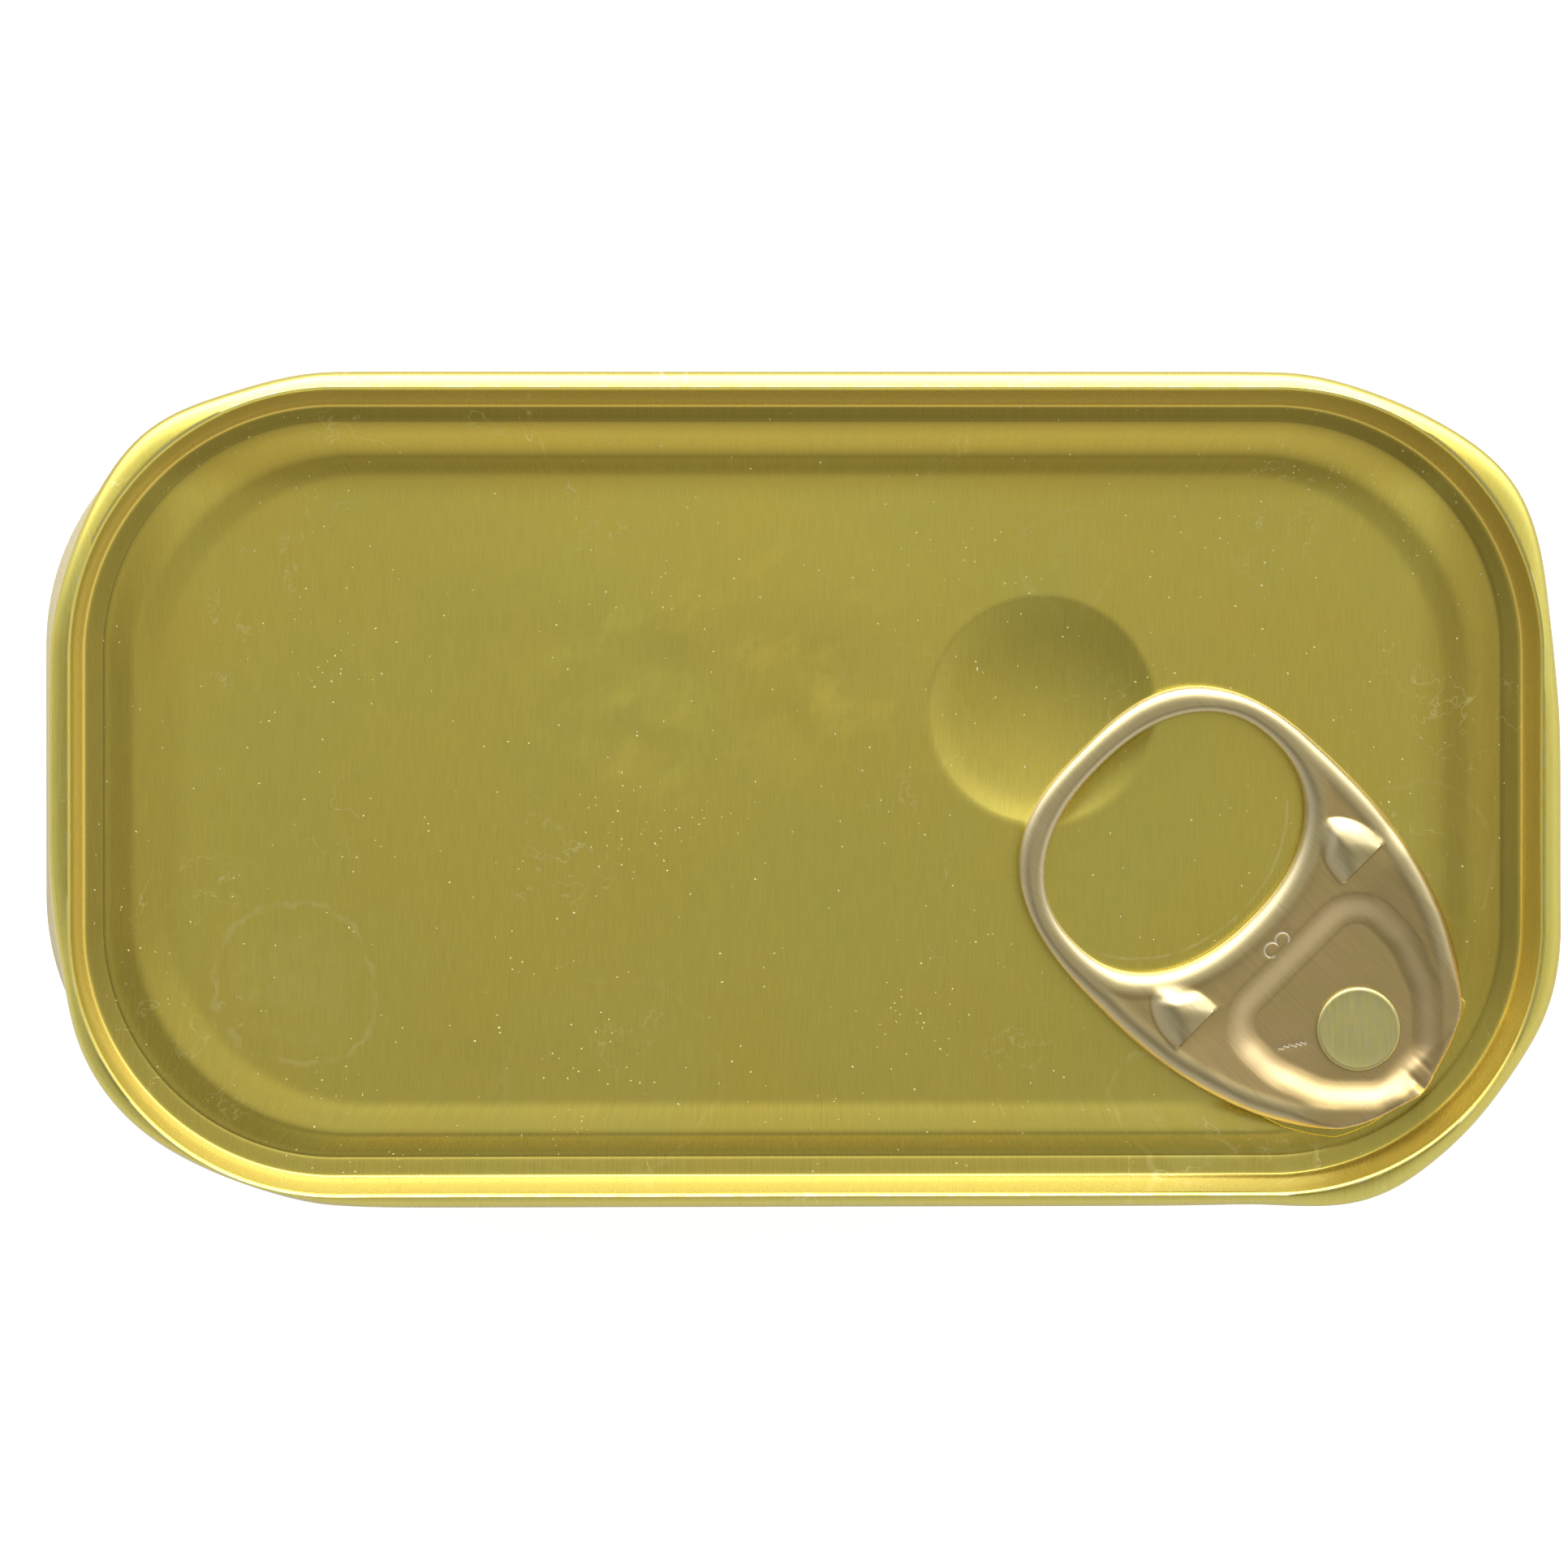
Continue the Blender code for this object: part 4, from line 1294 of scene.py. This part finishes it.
def buildTongue():
    shell = Shell()
    loop = evenly(np.array(tongue["outline"]), 0.2)
    normals = inwardNormals(loop)
    low, high, edge, bevel = (tongue[name] for name in ("low", "high", "edge", "bevel"))
    levels = ((edge, low), (bevel, low + bevel), (0.0, low + edge),
              (0.0, high - edge), (bevel, high - bevel), (edge, high))
    rings = [shell.ring(loop + normals * inset, height) for inset, height in levels]
    shell.bands(rings)
    shell.fill([rings[0]])
    shell.fill([rings[-1]])
    return shell.build("pullTongue", goldMaterial, place=pullPlace)


pullTongue = buildTongue()
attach(pullTongue, "root")
print("pull tongue:", len(pullTongue.data.polygons), "faces")

# The drawn body, by Geometry Nodes: a wall profile that is carried round a rounded rectangle.

body = {
    "Length": (tin["length"] - 2.12) * mm,
    "Width": (tin["width"] - 1.88) * mm,
    "Corner radius": 17.5 * mm,
    "Wall top": (tin["height"] - tin["seamHeight"] - 0.02) * mm,
    "Fill top": (tin["height"] - 5.5) * mm,
    "Wall thickness": 0.4 * mm,
    "Base radius": 3.5 * mm,
    "Foot width": 2.6 * mm,
    "Recess": 1.2 * mm,
    "Unevenness": 0.05 * mm,
}
bodyCounts = {"Points around": 320, "Points down": 96}
# each stretch of the profile has its own share of the points down the wall
bodyStretches = {
    "rim": (0.0, 0.03),
    "top": (0.03, 0.06),
    "wall": (0.06, 0.55),
    "turn": (0.55, 0.8),
    "foot": (0.8, 0.86),
    "step": (0.86, 0.97),
}


def bodyTree():
    tree = bpy.data.node_groups.new("drawnBody", "GeometryNodeTree")
    tree.interface.new_socket("Geometry", in_out="OUTPUT", socket_type="NodeSocketGeometry")
    for name in body:
        tree.interface.new_socket(name, in_out="INPUT", socket_type="NodeSocketFloat")
    for name in bodyCounts:
        tree.interface.new_socket(name, in_out="INPUT", socket_type="NodeSocketInt")
    tree.interface.new_socket("Material", in_out="INPUT", socket_type="NodeSocketMaterial")
    start = Wire(tree)
    given = tree.nodes.new("NodeGroupInput")
    size = {name: Wire(tree, given.outputs[name]) for name in [*body, *bodyCounts, "Material"]}
    rectangle = start.add("GeometryNodeCurvePrimitiveQuadrilateral", {}, {
        "Width": size["Length"], "Height": size["Width"]})
    rounded = start.add("GeometryNodeFilletCurve", {"mode": "POLY"}, {
        "Curve": rectangle, "Count": 40, "Radius": size["Corner radius"]})
    outline = start.add("GeometryNodeResampleCurve", {}, {
        "Curve": rounded, "Count": size["Points around"]})
    grid = tree.nodes.new("GeometryNodeMeshGrid")
    tree.links.new((size["Points around"] + 1.0).socket, grid.inputs["Vertices X"])
    tree.links.new(size["Points down"].socket, grid.inputs["Vertices Y"])
    mesh, uv = Wire(tree, grid.outputs[0]), Wire(tree, grid.outputs[1])
    around, down = uv.part("X"), uv.part("Y")
    sampled = tree.nodes.new("GeometryNodeSampleCurve")
    sampled.mode = "FACTOR"
    tree.links.new(outline.socket, sampled.inputs["Curves"])
    tree.links.new(around.socket, sampled.inputs["Factor"])
    place, tangent = Wire(tree, sampled.outputs["Position"]), Wire(tree, sampled.outputs["Tangent"])
    inward = tangent.vector("CROSS_PRODUCT", (0.0, 0.0, -1.0))

    rim, top, wall, turn, foot, step = (down.between(first, last, smooth=False)
                                        for first, last in bodyStretches.values())
    turn = turn * (math.pi / 2.0)
    rounding = 1.0 - turn.maths("COSINE", turn)
    inset = size["Wall thickness"] * (1.0 - top) + size["Base radius"] * rounding
    inset = inset + size["Foot width"] * foot + size["Recess"] * step
    height = size["Fill top"] + (size["Wall top"] - size["Fill top"]) * rim
    height = height - (size["Wall top"] - size["Base radius"]) * wall
    height = height - size["Base radius"] * turn.maths("SINE", turn)
    height = height + size["Recess"] * step.between(0.0, 1.0)
    swell = start.noise(place.vector("ADD", start.joined(0.0, 0.0, height)), 38.0, 1.0)
    uneven = (swell - 0.5) * size["Unevenness"] * (wall * (1.0 - wall) * 4.0)
    position = place.vector("ADD", start.joined(0.0, 0.0, height))
    scaled = start.add("ShaderNodeVectorMath", {"operation": "SCALE"}, {0: inward, 3: inset - uneven})
    shaped = start.add("GeometryNodeSetPosition", {}, {
        "Geometry": mesh, "Position": position.vector("ADD", scaled)})
    wallMesh = start.add("GeometryNodeMergeByDistance", {}, {"Geometry": shaped, "Distance": 0.00001})
    painted = start.add("GeometryNodeSetMaterial", {}, {
        "Geometry": wallMesh, "Material": size["Material"]})
    real = start.add("GeometryNodeRealizeInstances", {}, {"Geometry": painted})
    ending = tree.nodes.new("NodeGroupOutput")
    tree.links.new(real.socket, ending.inputs[0])
    return tree


def fromNodes(name, tree, values):
    # Runs a node tree on an empty mesh and keeps its result as a plain mesh.
    piece = addObject(name, bpy.data.meshes.new(name))
    modifier = piece.modifiers.new("shape", "NODES")
    modifier.node_group = tree
    for item in tree.interface.items_tree:
        if item.item_type == "SOCKET" and item.in_out == "INPUT" and item.name in values:
            modifier[item.identifier] = values[item.name]
    graph = bpy.context.evaluated_depsgraph_get()
    made = bpy.data.meshes.new_from_object(piece.evaluated_get(graph))
    piece.modifiers.remove(modifier)
    piece.data = made
    made.name = name
    return piece


def closeEnds(piece):
    # Flat lids over the open rings, then every face is turned outwards.
    shape = bmesh.new()
    shape.from_mesh(piece.data)
    rims = [edge for edge in shape.edges if edge.is_boundary]
    high = [edge for edge in rims if edge.verts[0].co.z > 10.0 * mm]
    low = [edge for edge in rims if edge.verts[0].co.z < 10.0 * mm]
    for rim in (high, low):
        bmesh.ops.triangle_fill(shape, edges=rim, use_beauty=True)
    bmesh.ops.recalc_face_normals(shape, faces=shape.faces)
    shape.to_mesh(piece.data)
    shape.free()
    piece.data.shade_smooth()
    piece.data.set_sharp_from_angle(angle=math.radians(40.0))


canBody = fromNodes("canBody", bodyTree(), {**body, **bodyCounts, "Material": bodyMaterial})
closeEnds(canBody)
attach(canBody, "root")
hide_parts("can_body")
print("can body:", len(canBody.data.polygons), "faces")

# Dust: small pale flakes strewn over the lid by Geometry Nodes.

dust = {
    "Density": 1800000.0,       # flakes for a square metre where it is thickest
    "Flake size": 0.053 * mm,
    "Low": panelTop * mm - 1.2 * mm,
    "High": panelTop * mm + 0.4 * mm,
}
flakeSizes = ((0.4, 0.4, 0.3), (1.9, 1.3, 0.6))
flakeTilt = 0.3


def dustTree():
    tree = bpy.data.node_groups.new("strewnDust", "GeometryNodeTree")
    tree.interface.new_socket("Geometry", in_out="OUTPUT", socket_type="NodeSocketGeometry")
    tree.interface.new_socket("Sheet", in_out="INPUT", socket_type="NodeSocketObject")
    for name in dust:
        tree.interface.new_socket(name, in_out="INPUT", socket_type="NodeSocketFloat")
    tree.interface.new_socket("Seed", in_out="INPUT", socket_type="NodeSocketInt")
    tree.interface.new_socket("Material", in_out="INPUT", socket_type="NodeSocketMaterial")
    start = Wire(tree)
    given = tree.nodes.new("NodeGroupInput")
    taken = {name: Wire(tree, given.outputs[name]) for name in ["Sheet", *dust, "Seed", "Material"]}
    sheet = start.add("GeometryNodeObjectInfo", {"transform_space": "ORIGINAL"}, {
        "Object": taken["Sheet"]}, 4)
    place = start.add("GeometryNodeInputPosition")
    height = place.part("Z")
    facing = start.add("GeometryNodeInputNormal").part("Z")
    inside = facing.maths("GREATER_THAN", facing, 0.6)
    inside = inside * height.maths("GREATER_THAN", height, taken["Low"])
    inside = inside * height.maths("LESS_THAN", height, taken["High"])
    clusters = start.noise(place, 95.0, 3.0, 0.6).between(0.5, 0.72)
    density = taken["Density"] * inside * (clusters * clusters + 0.06)
    scatter = start.add("GeometryNodeDistributePointsOnFaces", {"distribute_method": "RANDOM"}, {
        "Mesh": sheet, "Density": density, "Seed": taken["Seed"]})
    flake = start.add("GeometryNodeMeshIcoSphere", {}, {
        "Radius": taken["Flake size"], "Subdivisions": 1})
    turn = start.add("FunctionNodeRandomValue", {"data_type": "FLOAT_VECTOR"}, {
        0: (0.0, 0.0, 0.0), 1: (flakeTilt, flakeTilt, math.tau), 8: taken["Seed"] + 1.0})
    size = start.add("FunctionNodeRandomValue", {"data_type": "FLOAT_VECTOR"}, {
        0: flakeSizes[0], 1: flakeSizes[1], 8: taken["Seed"] + 2.0})
    placed = start.add("GeometryNodeInstanceOnPoints", {}, {
        "Points": scatter, "Instance": flake, "Rotation": turn, "Scale": size})
    real = start.add("GeometryNodeRealizeInstances", {}, {"Geometry": placed})
    painted = start.add("GeometryNodeSetMaterial", {}, {
        "Geometry": real, "Material": taken["Material"]})
    ending = tree.nodes.new("NodeGroupOutput")
    tree.links.new(painted.socket, ending.inputs[0])
    return tree


dustSpecks = fromNodes("dustSpecks", dustTree(), {
    **dust, "Sheet": lidSheet, "Seed": 11, "Material": dustMaterial})
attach(dustSpecks, "root")
print("dust specks:", len(dustSpecks.data.polygons), "faces")

# Floor, light and camera.

studio = {
    "floorSize": 3.0,
    "floorColour": (0.86, 0.86, 0.86, 1.0),
    "floorGlow": 0.75,
    "zenith": 0.4,
    "peak": 0.08,               # a little more straight above
    "horizon": 0.77,
    "sideDelay": 0.3,           # towards -X and +X it brightens lower down
    # stretches of height over which the brightness and the colour change
    "sideBand": (0.95, 0.6),
    "peakBand": (0.9, 1.0),
    "warmBand": (0.45, 0.85),
    "warm": (1.0, 0.95, 0.75, 1.0),
    "leanEast": 0.16,           # how much brighter the +X side is than the middle
    "leanNorth": 0.5,
    "lampHeight": 12.0,         # degrees over the +Y horizon; a long lamp that runs along X
    "lampStrength": 5.4,
    "lampTightness": 8.5,
    "least": 0.05,
}


def buildFloor():
    half = studio["floorSize"] / 2.0
    corners = [(-half, -half, 0.0), (half, -half, 0.0), (half, half, 0.0), (-half, half, 0.0)]
    data = bpy.data.meshes.new("floor")
    data.from_pydata(corners, [], [(0, 1, 2, 3)])
    material, start, shader = startMaterial("paleFloor")
    seen = start.add("ShaderNodeLightPath")
    feed(shader, {"Base Color": studio["floorColour"], "Roughness": 0.8,
                  "Emission Color": seen * studio["floorGlow"], "Emission Strength": 1.0})
    data.materials.append(material)
    return addObject("floor", data)


def buildWorld():
    world = bpy.data.worlds.new("studio")
    bpy.context.scene.world = world
    world.use_nodes = True
    tree = world.node_tree
    start = Wire(tree)
    direction = start.add("ShaderNodeTexCoord", {}, {}, 0)
    east, north, up = (direction.part(axis) for axis in "XYZ")
    low = (up + east * east * studio["sideDelay"]).between(*studio["sideBand"], smooth=False)
    level = studio["zenith"] + (studio["horizon"] - studio["zenith"]) * low
    level = level + up.between(*studio["peakBand"]) * studio["peak"]
    level = level + east * studio["leanEast"] + north * up * up * studio["leanNorth"]
    lampHeight = math.radians(studio["lampHeight"])
    facing = (1.0 - east * east).most(studio["least"])
    toLamp = (north * math.cos(lampHeight) + up * math.sin(lampHeight)).most(0.0) / facing ** 0.5
    level = level + toLamp ** studio["lampTightness"] * facing * studio["lampStrength"]
    level = level.most(studio["least"])
    background = tree.nodes["Background"]
    tree.links.new(level.socket, background.inputs["Strength"])
    colour = start.blend(up.between(*studio["warmBand"]), (1.0, 1.0, 1.0, 1.0), studio["warm"])
    tree.links.new(colour.socket, background.inputs["Color"])


view = {
    "lens": 400.0,
    "sensor": 36.0,
    "frameWidth": 101.69,       # what the picture spans at the height of the rim
    "leanX": -3.3,              # degrees from straight down
    "leanY": 1.0,
    "aim": (-1.52, 0.36),
    "clip": (0.01, 20.0),
}


def buildCamera():
    data = bpy.data.cameras.new("camera")
    data.lens = view["lens"]
    data.sensor_width = view["sensor"]
    camera = addObject("camera", data)
    distance = view["frameWidth"] * mm * view["lens"] / view["sensor"]
    leanX, leanY = math.radians(view["leanX"]), math.radians(view["leanY"])
    back = Vector((math.tan(leanX), math.tan(leanY), 1.0)).normalized()
    right = Vector((math.cos(leanX), 0.0, -math.sin(leanX)))
    upward = back.cross(right)
    target = Vector((view["aim"][0] * mm, view["aim"][1] * mm, tin["height"] * mm))
    turned = Matrix((right, upward, back)).transposed().to_4x4()
    camera.matrix_world = Matrix.Translation(target + back * distance) @ turned
    data.clip_start, data.clip_end = view["clip"]
    bpy.context.scene.camera = camera
    return camera


buildFloor()
buildWorld()
buildCamera()
bpy.context.scene.view_settings.view_transform = "Standard"
print("studio and camera ready")
